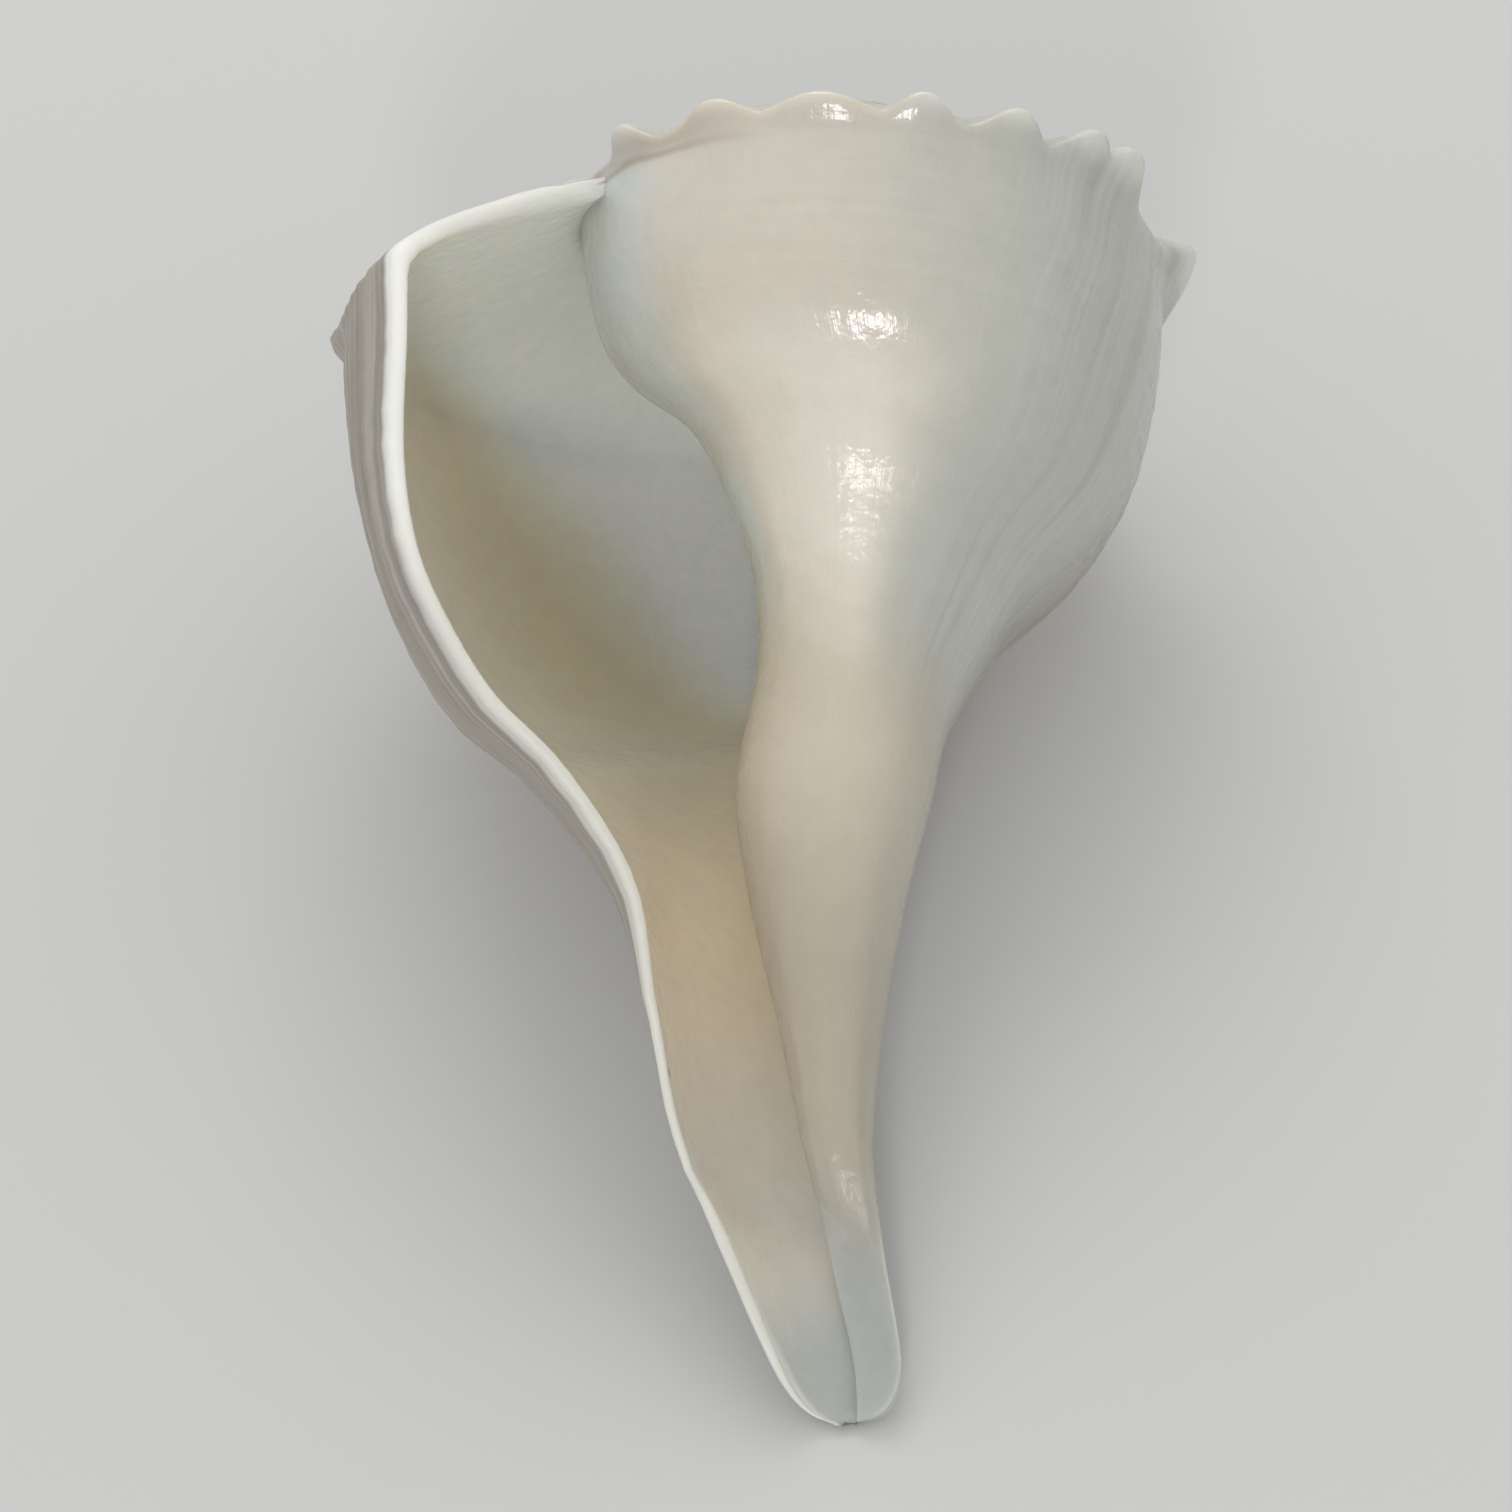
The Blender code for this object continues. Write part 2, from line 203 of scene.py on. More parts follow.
@dataclass(frozen=True)
class Growth:
    """The rules by which the shell grows, with the sizes of the grown lip."""

    profile: Table = (
        (0.00, 29.5, 20.5), (0.06, 45.0, 27.5), (0.12, 56.5, 34.0), (0.15, 61.0, 37.8),
        (0.18, 61.2, 40.5), (0.26, 60.9, 49.0), (0.36, 59.3, 62.5), (0.46, 54.8, 77.8),
        (0.55, 47.3, 91.0), (0.63, 37.4, 98.8), (0.70, 27.5, 110.0), (0.78, 23.6, 124.5),
        (0.86, 22.3, 138.3), (0.93, 18.9, 156.7), (1.00, 15.4, 170.5),
    )
    turn_ratio: float = 1.95
    lip_turn: float = 393.3
    lip_lead: Curve = Curve(
        ((0, 0), (0.25, 1.4), (0.45, -4.8), (0.6, 2.1), (0.7, 2.7), (0.8, -13.2), (0.9, -21.9), (1, -31)),
        CurveStyle.ROUND,
    )
    canal_narrowing: float = 6.3
    canal_narrowing_start: float = 0.43
    canal_narrowing_ease: float = 2.2
    canal_shortening: float = 0.06
    canal_even_from: float = 0.84
    canal_shortening_start: float = 0.54
    canal_shortening_ramp: float = 0.26
    pillar: Curve = Curve((
        (0, 3.0 * MM), (30 * MM, 5.0 * MM), (50 * MM, 6.0 * MM), (74 * MM, 7.1 * MM),
        (93 * MM, 10.3 * MM), (107 * MM, 7.9 * MM), (122 * MM, 4.7 * MM), (135 * MM, 3.2 * MM),
        (150 * MM, 2.3 * MM), (165 * MM, 2.1 * MM), (182 * MM, 2.8 * MM),
    ))
    fillet: Curve = Curve((
        (0, 1.75 * MM), (20 * MM, 1.75 * MM), (60 * MM, 5.0 * MM), (110 * MM, 5.0 * MM),
        (150 * MM, 2.0 * MM), (182 * MM, 2.0 * MM),
    ))
    canal_shift: Curve = Curve((
        (0, 0), (80 * MM, 0), (110 * MM, -1.7 * MM), (135 * MM, -1.1 * MM), (150 * MM, 1.4 * MM),
        (165 * MM, 3.8 * MM), (182 * MM, 4.2 * MM),
    ))
    canal_drop: Curve = Curve(((0, 0), (110 * MM, 0), (150 * MM, -1.0 * MM), (182 * MM, -3.0 * MM)))
    spire_sink: float = 3.4 * MM
    spire_sink_scale: float = 0.32
    knobs: KnobRow = KnobRow()

    def scale(self, turn: np.ndarray) -> np.ndarray:
        """Size of the whorl at a turn, as a share of its size at the lip."""
        return self.turn_ratio ** ((turn - self.lip_turn) / TURN)

    def lip_edge(self, station: np.ndarray) -> np.ndarray:
        """Turn at which the lip's edge stands at a station."""
        return self.lip_turn + self.lip_lead.at(station)

    def radius_and_depth(
        self, turn: np.ndarray, station: np.ndarray, knobs: bool
    ) -> tuple[np.ndarray, np.ndarray]:
        """Cylinder coordinates of a place on the growing whorl.

        Args:
            turn: Growth angles in degrees.
            station: Places on the lip's profile.
            knobs: Whether the knobs are on it.

        Returns:
            The radius about the axis and the depth below the apex, in metres.
        """
        turns_back = (turn - self.lip_turn) / TURN
        start = self.canal_narrowing_start
        canal = np.clip((station - start) / (1 - start), 0, 1)
        radial_power = 1 + (self.canal_narrowing - 1) * canal**self.canal_narrowing_ease
        start = self.canal_shortening_start
        low = np.clip((station - start) / (1 - start), 0, 1)
        ramp = smooth_step(0, self.canal_shortening_ramp, low)
        shortening = self.canal_shortening * (1 - smooth_step(self.canal_even_from, 1, station))
        axial_power = 1 - (1 - shortening) * low * ramp
        radii = Curve(tuple((s, r * MM) for s, r, _ in self.profile), CurveStyle.ROUND)
        depths = Curve(tuple((s, d * MM) for s, _, d in self.profile), CurveStyle.ROUND)
        radius = radii.at(station) * self.turn_ratio ** (radial_power * turns_back)
        depth = depths.at(station) * self.turn_ratio ** (axial_power * turns_back)
        depth = depth + self.spire_sink * np.exp(-(self.scale(turn) / self.spire_sink_scale) ** 2)
        pillar = self.pillar.at(depth)
        fillet = self.fillet.at(depth)
        above = radius - pillar
        radius = pillar + (above + np.sqrt(above * above + fillet * fillet)) / 2
        if knobs:
            share = self.knobs.share(turn, station)
            rise = self.knobs.height * share * self.scale(turn)
            radius = radius + self.knobs.outward * rise
            depth = depth - (self.knobs.upward + self.knobs.upturn * share) * rise
        return radius, depth

    def place(self, turn: np.ndarray, station: np.ndarray, knobs: bool) -> np.ndarray:
        """Place on the growing whorl, before it is drawn to the whorl before it.

        Args:
            turn: Growth angles in degrees.
            station: Places on the lip's profile.
            knobs: Whether the knobs are on it.

        Returns:
            Points in the growth frame, in metres.
        """
        radius, depth = self.radius_and_depth(turn, station, knobs)
        angle = np.radians(turn)
        x = self.canal_shift.at(depth) - radius * np.cos(angle)
        z = self.canal_drop.at(depth) + radius * np.sin(angle)
        return np.stack(np.broadcast_arrays(x, -depth, z), -1)

    def outer(self, turn: np.ndarray, station: np.ndarray, knobs: bool = True) -> np.ndarray:
        """Place on the outer face; near the suture it comes down onto the whorl before it.

        Args:
            turn: Growth angles in degrees.
            station: Places on the lip's profile.
            knobs: Whether the knobs are on it.

        Returns:
            Points in the growth frame, in metres.
        """
        turn, station = np.broadcast_arrays(np.asarray(turn, float), np.asarray(station, float))
        landing = self.place(turn - TURN, np.full_like(station, Suture.outer), knobs)
        edge = self.place(turn, np.zeros_like(station), knobs)
        near = (1 - smooth_step(0, Suture.outer_blend, station))[..., None]
        return self.place(turn, station, knobs) + (landing - edge) * near

    def outward(self, turn: np.ndarray, station: np.ndarray, knobs: bool = False) -> np.ndarray:
        """Unit normal of the outer face.

        Args:
            turn: Growth angles in degrees.
            station: Places on the lip's profile.
            knobs: Whether the knobs are on it.

        Returns:
            Unit vectors that point out of the wall.
        """
        turn_step = 0.4
        station_step = 0.002
        ahead = self.outer(turn + turn_step, station, knobs) - self.outer(turn - turn_step, station, knobs)
        low = self.outer(turn, np.minimum(station + station_step, 1), knobs)
        high = self.outer(turn, np.maximum(station - station_step, 0), knobs)
        normal = np.cross(low - high, ahead)
        return normal / np.linalg.norm(normal, axis=-1, keepdims=True)


@dataclass(frozen=True)
class Hollow:
    """The living space: a wall's thickness inside the outer face, and shut against the pillar."""

    growth: Growth = Growth()
    thinning: float = 0.5
    wall: Curve = Curve(((0, 1.8 * MM), (0.15, 2.1 * MM), (0.5, 1.8 * MM), (0.7, 1.5 * MM), (1, 1.2 * MM)))
    pinch_start: float = 0.46
    pinch_end: float = 0.54
    inner_turn: float = 150.0
    deep_end_turn: float = -210.0
    crease: Curve = Curve(((0, 150), (0.54, 150), (0.6, 162), (0.7, 195), (0.8, 228), (0.9, 250), (1, 262)))
    pinch_degrees: float = 34.0
    easing: float = 0.055
    easing_full: float = 0.10
    easing_fades: tuple[float, float] = (0.32, 0.45)
    easing_weights: Table = ((-1.0, 0.0625), (-0.5, 0.25), (0.0, 0.375), (0.5, 0.25), (1.0, 0.0625))

    def station_behind(self, station: np.ndarray) -> np.ndarray:
        """Station on the whorl before, which the hollow's floor meets at this station."""
        reach = (self.pinch_end - Suture.inner) / self.pinch_end
        return np.where(station < self.pinch_end, Suture.inner + station * reach, station)

    def free_face(self, turn: np.ndarray, station: np.ndarray) -> np.ndarray:
        """Place a wall's thickness inside the outer face, eased where the shoulder folds it.

        Args:
            turn: Growth angles in degrees.
            station: Places on the lip's profile.

        Returns:
            Points in the growth frame, in metres.
        """
        fade = 1 - smooth_step(*self.easing_fades, station)
        reach = self.easing * smooth_step(0, self.easing_full, station) * fade
        total = np.zeros((*np.broadcast(turn, station).shape, 3))
        for step, weight in self.easing_weights:
            near = np.clip(station + step * reach, 0, 1)
            thickness = (self.wall.at(near) * self.growth.scale(turn) ** self.thinning)[..., None]
            face = self.growth.outer(turn, near, False) - thickness * self.growth.outward(turn, near)
            total = total + weight * face
        return total

    def place(self, turn: np.ndarray, station: np.ndarray) -> np.ndarray:
        """Place on the inner face.

        Args:
            turn: Growth angles in degrees.
            station: Places on the lip's profile.

        Returns:
            Points in the growth frame, in metres.
        """
        turn, station = np.broadcast_arrays(np.asarray(turn, float), np.asarray(station, float))
        free = self.free_face(turn, station)
        behind = self.growth.outer(turn - TURN, self.station_behind(station), False)
        past_crease = smooth_step(0, 1, (turn - self.crease.at(station)) / self.pinch_degrees)
        pinch = smooth_step(self.pinch_start, self.pinch_end, station)
        share = (1 - pinch * (1 - past_crease)) * smooth_step(0, Suture.ceiling_blend, station)
        return behind + (free - behind) * share[..., None]


@dataclass(frozen=True)
class CanalTip:
    """The canal's end: the pillar melts into a thin bowl, and the bowl closes in a round end."""

    growth: Growth = Growth()
    flat_from: float = 141.0 * MM
    flat_to: float = 163.0 * MM
    flat_height: float = 1.6 * MM
    bowl_middle: float = -3.8 * MM
    bowl_curve: float = 0.10 / MM
    bowl_floor: Curve = Curve((
        (143 * MM, -7.6 * MM), (155 * MM, -5.8 * MM), (163 * MM, -4.5 * MM),
        (167.7 * MM, -3.2 * MM), (170.5 * MM, -2.1 * MM),
    ))
    start: float = 160.0 * MM
    end: float = 170.52 * MM
    drawn_in: float = 0.88
    power: float = 3.1
    middle: float = 1.2 * MM
    edge_power: float = 14.0

    def bowl(self, x: np.ndarray, depth: np.ndarray) -> np.ndarray:
        """Height of the bowl's middle face, at sideways places and depths in the growth frame."""
        aside = x - self.growth.canal_shift.at(depth) - self.bowl_middle
        return self.growth.canal_drop.at(depth) + self.bowl_floor.at(depth) + self.bowl_curve * aside**2

    def rounded(self, points: np.ndarray) -> np.ndarray:
        """Flatten the canal's end and draw it in.

        Args:
            points: Points in the growth frame.

        Returns:
            The same points with the canal's end flattened and rounded off.
        """
        depth = -points[..., 1]
        above = points[..., 2] - self.bowl(points[..., 0], depth)
        squash = smooth_step(self.flat_from, self.flat_to, depth)
        flat = above / (1 + squash * np.abs(above) / self.flat_height)
        share = np.clip((depth - self.start) / (self.end - self.start), 0, 1)
        width = (1 - share**self.power) ** (1 / self.power)
        thickness = np.sqrt(1 - share**self.edge_power)
        result = points.copy()
        result[..., 0] = self.middle + (points[..., 0] - self.middle) * width
        result[..., 1] = (1 - self.drawn_in) * np.maximum(depth - self.start, 0) - depth
        result[..., 2] = self.bowl(result[..., 0], depth) + flat * thickness
        return result


@dataclass(frozen=True)
class Ripples:
    """Low waves that make the grown surface uneven, each a sum of a few seeded waves."""

    seed: int = 7
    waves: int = 9
    swell_height: float = 0.22 * MM
    line_height: float = 0.10 * MM
    least_lines: float = 0.15
    cord_height: float = 0.07 * MM
    swell_rates: Table = ((3, 9), (1, 3))
    line_rates: Table = ((40, 90), (0, 0.6))
    cord_rates: Table = ((0, 2), (27, 33))

    def waves_over(self, turn: np.ndarray, station: np.ndarray, rates: Table, draw: int) -> np.ndarray:
        """Add up waves of random direction and phase.

        Args:
            turn: Growth angles in degrees.
            station: Places on the lip's profile.
            rates: Fewest and most waves in a turn, then fewest and most along the profile.
            draw: Which draw of random numbers to use.

        Returns:
            A value of about -1 to 1 at each place.
        """
        turn_rates, station_rates = rates
        drawn = np.random.default_rng(self.seed + draw)
        total = np.zeros(np.broadcast(turn, station).shape)
        for _ in range(self.waves):
            rate = drawn.uniform(*turn_rates)
            tilt = drawn.uniform(*station_rates) * drawn.choice((-1, 1))
            phase = drawn.uniform(0, 2 * math.pi)
            total = total + np.sin(2 * math.pi * (rate * turn / TURN + tilt * station) + phase)
        return total / math.sqrt(self.waves)

    def height(self, turn: np.ndarray, station: np.ndarray, raw: np.ndarray) -> np.ndarray:
        """Height of the unevenness, before the whorl's own scale.

        Args:
            turn: Growth angles in degrees, counted along the lip's own slant.
            station: Places on the lip's profile.
            raw: How unglazed each place is, from 0 to 1; raw shell has the most growth lines.

        Returns:
            Heights in metres.
        """
        swell = self.waves_over(turn, station, self.swell_rates, 1)
        lines = self.waves_over(turn, station, self.line_rates, 2)
        cords = self.waves_over(turn, station, self.cord_rates, 3)
        lines = lines * (self.least_lines + (1 - self.least_lines) * raw)
        return self.swell_height * swell + self.line_height * lines + self.cord_height * cords


@dataclass
class Patch:
    """A grid of points on the shell, with what the finish reads at each of them."""

    points: np.ndarray
    turn: np.ndarray
    station: np.ndarray
    age: np.ndarray
    inside: np.ndarray
    knob: np.ndarray
    behind_lip: np.ndarray
    band: np.ndarray

    MARKS = ("turn", "station", "age", "inside", "knob", "behind_lip", "band")

    def marks(self) -> np.ndarray:
        """The finish's values at each point, in the order of MARKS."""
        return np.stack(np.broadcast_arrays(*(getattr(self, name) for name in self.MARKS)), -1)


class MeshSheet:
    """Points and faces gathered from patches, with the finish's values at every face corner."""

    def __init__(self) -> None:
        """Start with nothing."""
        self.points: list[np.ndarray] = []
        self.faces: list[tuple[int, ...]] = []
        self.corner_marks: list[np.ndarray] = []
        self.count = 0

    def add_points(self, points: np.ndarray) -> int:
        """Add points.

        Args:
            points: The points, one a row.

        Returns:
            The index of the first of them.
        """
        first = self.count
        self.points.append(points)
        self.count += len(points)
        return first

    def add_grid(self, points: np.ndarray, marks: np.ndarray) -> None:
        """Add a grid of four-sided faces.

        Args:
            points: Rows by columns of points.
            marks: The finish's values at the same places.
        """
        rows, columns = points.shape[:2]
        first = self.add_points(points.reshape(-1, 3))
        index = first + np.arange(rows * columns).reshape(rows, columns)
        corners = (index[:-1, :-1], index[1:, :-1], index[1:, 1:], index[:-1, 1:])
        quads = np.stack(corners, -1).reshape(-1, 4)
        self.faces.extend(map(tuple, quads.tolist()))
        flat = marks.reshape(rows * columns, -1)
        self.corner_marks.append(flat[(quads - first).ravel()])

    def add_faces(self, points: np.ndarray, marks: np.ndarray, faces: list[tuple[int, ...]]) -> None:
        """Add faces between points of their own.

        Args:
            points: The points, one a row.
            marks: The finish's values at the same points.
            faces: Faces as indices into the points.
        """
        first = self.add_points(points)
        self.faces.extend(tuple(first + i for i in face) for face in faces)
        self.corner_marks.append(marks[np.concatenate([np.array(face) for face in faces])])

    def build(self, name: str, names: tuple[str, ...], weld: float) -> bpy.types.Mesh:
        """Make one closed mesh.

        Args:
            name: The mesh's name.
            names: Names of the finish's values.
            weld: Points closer than this become one.

        Returns:
            The mesh, with each value as an attribute of its face corners.
        """
        data = bpy.data.meshes.new(name)
        data.from_pydata(np.concatenate(self.points).tolist(), [], self.faces)
        values = np.concatenate(self.corner_marks)
        for i, mark in enumerate(names):
            layer = data.attributes.new(mark, "FLOAT", "CORNER")
            layer.data.foreach_set("value", values[:, i].astype(np.float32))
        mesh = bmesh.new()
        mesh.from_mesh(data)
        bmesh.ops.remove_doubles(mesh, verts=mesh.verts, dist=weld)
        bmesh.ops.recalc_face_normals(mesh, faces=mesh.faces)
        if mesh.calc_volume(signed=True) < 0:
            bmesh.ops.reverse_faces(mesh, faces=mesh.faces)
        mesh.to_mesh(data)
        mesh.free()
        data.shade_smooth()
        return data


@dataclass
class ShellForm:
    """The shell as a fine mesh, lying where its solid lies."""

    growth: Growth = Growth()
    hollow: Hollow = Hollow()
    tip: CanalTip = CanalTip()
    ripples: Ripples = Ripples()
    rows: int = 400
    hollow_rows: int = 150
    spire_turns: int = 3
    deep_rows: int = 60
    rim_steps: int = 8
    rim_grows_by: float = 0.04
    end_from: float = 0.94
    dome_rings: int = 6
    rest_pitch: float = 19.4
    rest_roll: float = 3.0
    apex_place: tuple[float, float, float] = (7.233 * MM, 81.187 * MM, 61.394 * MM)
    glazed_until: float = 165.0
    raw_from: float = 250.0
    new_growth: float = 12.0
    even_near_suture: float = 0.03
    even_slope_from: float = 0.15
    even_end_from: float = 0.9
    ramp_steps: int = 21
    flank_steps: int = 23
    canal_steps: int = 26
    end_steps: int = 19
    band_edge: Curve = Curve((
        (0.05, 362), (0.10, 350), (0.15, 328), (0.27, 312), (0.38, 300), (0.49, 289), (0.60, 265),
    ))
    weld: float = 0.00005 * MM

    @property
    def start(self) -> float:
        """Turn at which the last whorl starts, one turn behind the lip."""
        return self.growth.lip_turn - TURN

    def ramp(self) -> np.ndarray:
        """Stations from the suture to where the next whorl lands."""
        return np.linspace(0, Suture.outer, self.ramp_steps + 1)

    def flank(self) -> np.ndarray:
        """Stations down the flank, from the next whorl's landing to the pinch."""
        return np.linspace(Suture.inner, self.hollow.pinch_end, self.flank_steps + 1)

    def low(self) -> np.ndarray:
        """Stations from the next whorl's landing to the canal's end, closer near that end."""
        canal = np.linspace(self.hollow.pinch_end, self.end_from, self.canal_steps + 1)
        end = 1 - (1 - self.end_from) * np.linspace(1, 0, self.end_steps + 1) ** 2
        return np.concatenate([self.flank(), canal[1:], end[1:]])

    def rawness(self, turn: np.ndarray) -> np.ndarray:
        """How unglazed the outer face is, from 0 in front to 1 behind the lip."""
        return smooth_step(self.glazed_until, self.raw_from, turn)

    def lip_trim(self, station: np.ndarray) -> np.ndarray:
        """Degrees by which the faces stop short of the lip's edge, to leave room for its round."""
        edge = self.growth.lip_edge(station)
        pace = np.linalg.norm(
            self.growth.outer(edge, station, False) - self.growth.outer(edge - 1, station, False), axis=-1
        )
        return self.hollow.wall.at(station) / 2 / pace * smooth_step(0, self.rim_grows_by, station)

    def edge(self, station: np.ndarray) -> np.ndarray:
        """Turn at which the outer and inner faces end."""
        return self.growth.lip_edge(station) - self.lip_trim(station)

    def behind_lip(self, turn: np.ndarray, station: np.ndarray) -> np.ndarray:
        """Distance behind the lip's edge, measured along the growth, in metres."""
        radius, _ = self.growth.radius_and_depth(turn, station, False)
        return (self.edge(station) - turn) * math.pi / 180 * radius

    def outer_patch(self, turn: np.ndarray, station: np.ndarray) -> Patch:
        """Make a patch of the outer face.

        Args:
            turn: Growth angles in degrees.
            station: Places on the lip's profile.

        Returns:
            The patch, with its knobs and its unevenness.
        """
        turn, station = np.broadcast_arrays(np.asarray(turn, float), np.asarray(station, float))
        grown = turn - self.growth.lip_lead.at(station)
        fresh = smooth_step(self.start, self.start + self.new_growth, turn)
        clear = smooth_step(Suture.outer, Suture.inner, station)
        clear = clear + (1 - smooth_step(self.even_slope_from, Suture.outer, station))
        clear = clear * smooth_step(0, self.even_near_suture, station)
        clear = clear * (1 - smooth_step(self.even_end_from, 1, station))
        clear = clear * np.where(station > Suture.outer, fresh, 1)
        height = self.ripples.height(grown, station, self.rawness(turn)) * self.growth.scale(turn) * clear
        points = self.growth.outer(turn, station)
        points = points + height[..., None] * self.growth.outward(turn, station)
        knob = self.growth.knobs.share(turn, station)
        outside = np.zeros_like(turn)
        band = turn - self.band_edge.at(station)
        return Patch(points, turn, station, grown, outside, knob, self.behind_lip(turn, station), band)

    def inner_patch(self, turn: np.ndarray, station: np.ndarray) -> Patch:
        """Make a patch of the inner face.

        Args:
            turn: Growth angles in degrees.
            station: Places on the lip's profile.

        Returns:
            The patch.
        """
        turn, station = np.broadcast_arrays(np.asarray(turn, float), np.asarray(station, float))
        points = self.hollow.place(turn, station)
        grown = turn - self.growth.lip_lead.at(station)
        inside = np.ones_like(turn)
        band = turn - self.band_edge.at(station)
        return Patch(points, turn, station, grown, inside, inside * 0, self.behind_lip(turn, station), band)

    def rim_patch(self, outer: Patch, inner: Patch) -> Patch:
        """Round the lip between the last rows of the outer and the inner face.

        Args:
            outer: Patch of the outer face that ends at the lip.
            inner: Patch of the inner face that ends at the lip, with the same stations.

        Returns:
            The patch of the rounded edge.
        """
        high = outer.points[-1]
        low = inner.points[-1]
        middle = (high + low) / 2
        half = (high - low) / 2
        ahead = (high - outer.points[-2]) + (low - inner.points[-2])
        along = np.gradient(middle, axis=0)
        reach = np.linalg.norm(half, axis=-1, keepdims=True)
        forward = np.cross(along, half)
        forward = forward / np.maximum(np.linalg.norm(forward, axis=-1, keepdims=True), TINY)
        forward = forward * np.sign(np.sum(forward * ahead, -1, keepdims=True))
        share = np.linspace(0, 1, self.rim_steps + 1)[:, None]
        swing = (share * math.pi)[..., None]
        bulge = reach * smooth_step(0, self.rim_grows_by, outer.station[-1])[..., None]
        points = middle + half * np.cos(swing) + forward * bulge * np.sin(swing)
        beyond = -reach[..., 0] * np.sin(swing[..., 0])
        knob = outer.knob[-1] * (1 - share)
        values = (outer.turn[-1], outer.station[-1], outer.age[-1], share, knob, beyond, outer.band[-1])
        return Patch(points, *values)

    def build(self) -> bpy.types.Object:
        """Build the shell and lay it where its solid lies.

        Returns:
            The shell as one object.
        """
        low = self.low()
        every = np.concatenate([self.ramp(), low])
        body = np.concatenate([self.ramp(), self.flank()])
        rows = np.linspace(0, 1, self.rows + 1)[:, None]
        inner_rows = np.linspace(0, 1, self.hollow_rows + 1)[:, None]
        edge = self.edge(every)

        last_whorl = self.outer_patch(self.start + (edge - self.start) * rows, every)
        crease = self.hollow.crease.at(every)
        hollow = self.inner_patch(crease + (edge - crease) * inner_rows, every)
        crease_behind = self.hollow.crease.at(low) - TURN
        pillar = self.outer_patch(crease_behind + (self.start - crease_behind) * inner_rows, low)
        deep_ends = (self.hollow.deep_end_turn, self.hollow.inner_turn)
        deep_turns = np.linspace(*deep_ends, self.deep_rows + 1)[:, None]
        deep_hollow = self.inner_patch(deep_turns, body)
        deep_pillar = self.outer_patch(deep_turns - TURN, self.flank())
        spire = []
        for back in range(1, self.spire_turns + 1):
            spire.append(self.outer_patch(self.start - TURN * back + TURN * rows, self.ramp()))

        sheet = MeshSheet()
        for patch in (last_whorl, hollow, pillar, deep_hollow, deep_pillar, *spire):
            patch.points = self.tip.rounded(patch.points)
            sheet.add_grid(patch.points, patch.marks())
        rim = self.rim_patch(last_whorl, hollow)
        sheet.add_grid(rim.points, rim.marks())
        self.close_loop(sheet, rim.points[:, 0], rim.marks()[:, 0])
        self.close_canal(sheet, (last_whorl, hollow, pillar), rim)
        self.close_deep_end(sheet, deep_hollow, deep_pillar)
        self.close_apex(sheet, spire[-1])
        data = sheet.build("shell_fine", Patch.MARKS, self.weld)
        self.lay_down(data)
        shell = bpy.data.objects.new("shell_fine", data)
        bpy.context.scene.collection.objects.link(shell)
        return shell

    def close_canal(self, sheet: MeshSheet, patches: tuple[Patch, Patch, Patch], rim: Patch) -> None:
        """Close the narrow ring that is left at the canal's end.

        Args:
            sheet: The mesh to add to.
            patches: Patches of the outer face, the inner face and the pillar.
            rim: Patch of the rounded lip.
        """
        last_whorl, hollow, pillar = patches
        runs = (
            (last_whorl.points[:, -1], last_whorl.marks()[:, -1]),
            (rim.points[1:-1, -1], rim.marks()[1:-1, -1]),
            (hollow.points[::-1, -1], hollow.marks()[::-1, -1]),
            (pillar.points[1:-1, -1], pillar.marks()[1:-1, -1]),
        )
        loop = np.concatenate([run[0] for run in runs])
        marks = np.concatenate([run[1] for run in runs])
        count = len(loop)
        fan = [(i, (i + 1) % count, count) for i in range(count)]
        sheet.add_faces(np.vstack([loop, loop.mean(0)]), np.vstack([marks, marks.mean(0)]), fan)

    def close_loop(self, sheet: MeshSheet, loop: np.ndarray, marks: np.ndarray) -> None:
        """Close a ring of points with triangles."""
        faces = tessellate_polygon([[Vector(point) for point in loop]])
        sheet.add_faces(loop, marks, [tuple(face) for face in faces])

    def close_deep_end(self, sheet: MeshSheet, deep_hollow: Patch, deep_pillar: Patch) -> None:
        """Close the hollow where it ends, out of sight.

        Args:
            sheet: The mesh to add to.
            deep_hollow: Patch of the inner face in the earlier whorl.
            deep_pillar: Patch of the whorl inside it.
        """
        loop = np.concatenate([deep_hollow.points[0], deep_pillar.points[0][::-1][1:-1]])
        marks = np.concatenate([deep_hollow.marks()[0], deep_pillar.marks()[0][::-1][1:-1]])
        self.close_loop(sheet, loop, marks)

    def close_apex(self, sheet: MeshSheet, first_turn: Patch) -> None:
        """Close the top of the spire with a small dome.

        Args:
            sheet: The mesh to add to.
            first_turn: Patch of the earliest turn of the spire.
        """
        loop = np.concatenate([first_turn.points[:, 0], first_turn.points[0][::-1][1:]])
        marks = np.concatenate([first_turn.marks()[:, 0], first_turn.marks()[0][::-1][1:]])
        rings = []
        for i in range(self.dome_rings + 1):
            angle = math.pi / 2 * i / self.dome_rings
            ring = loop * math.cos(angle)
            ring[:, 1] = loop[:, 1] * (1 - math.sin(angle)) - self.growth.spire_sink * math.sin(angle)
            rings.append(ring)
        closed = np.stack(rings)
        sheet.add_grid(closed, np.broadcast_to(marks, (len(rings), *marks.shape)))

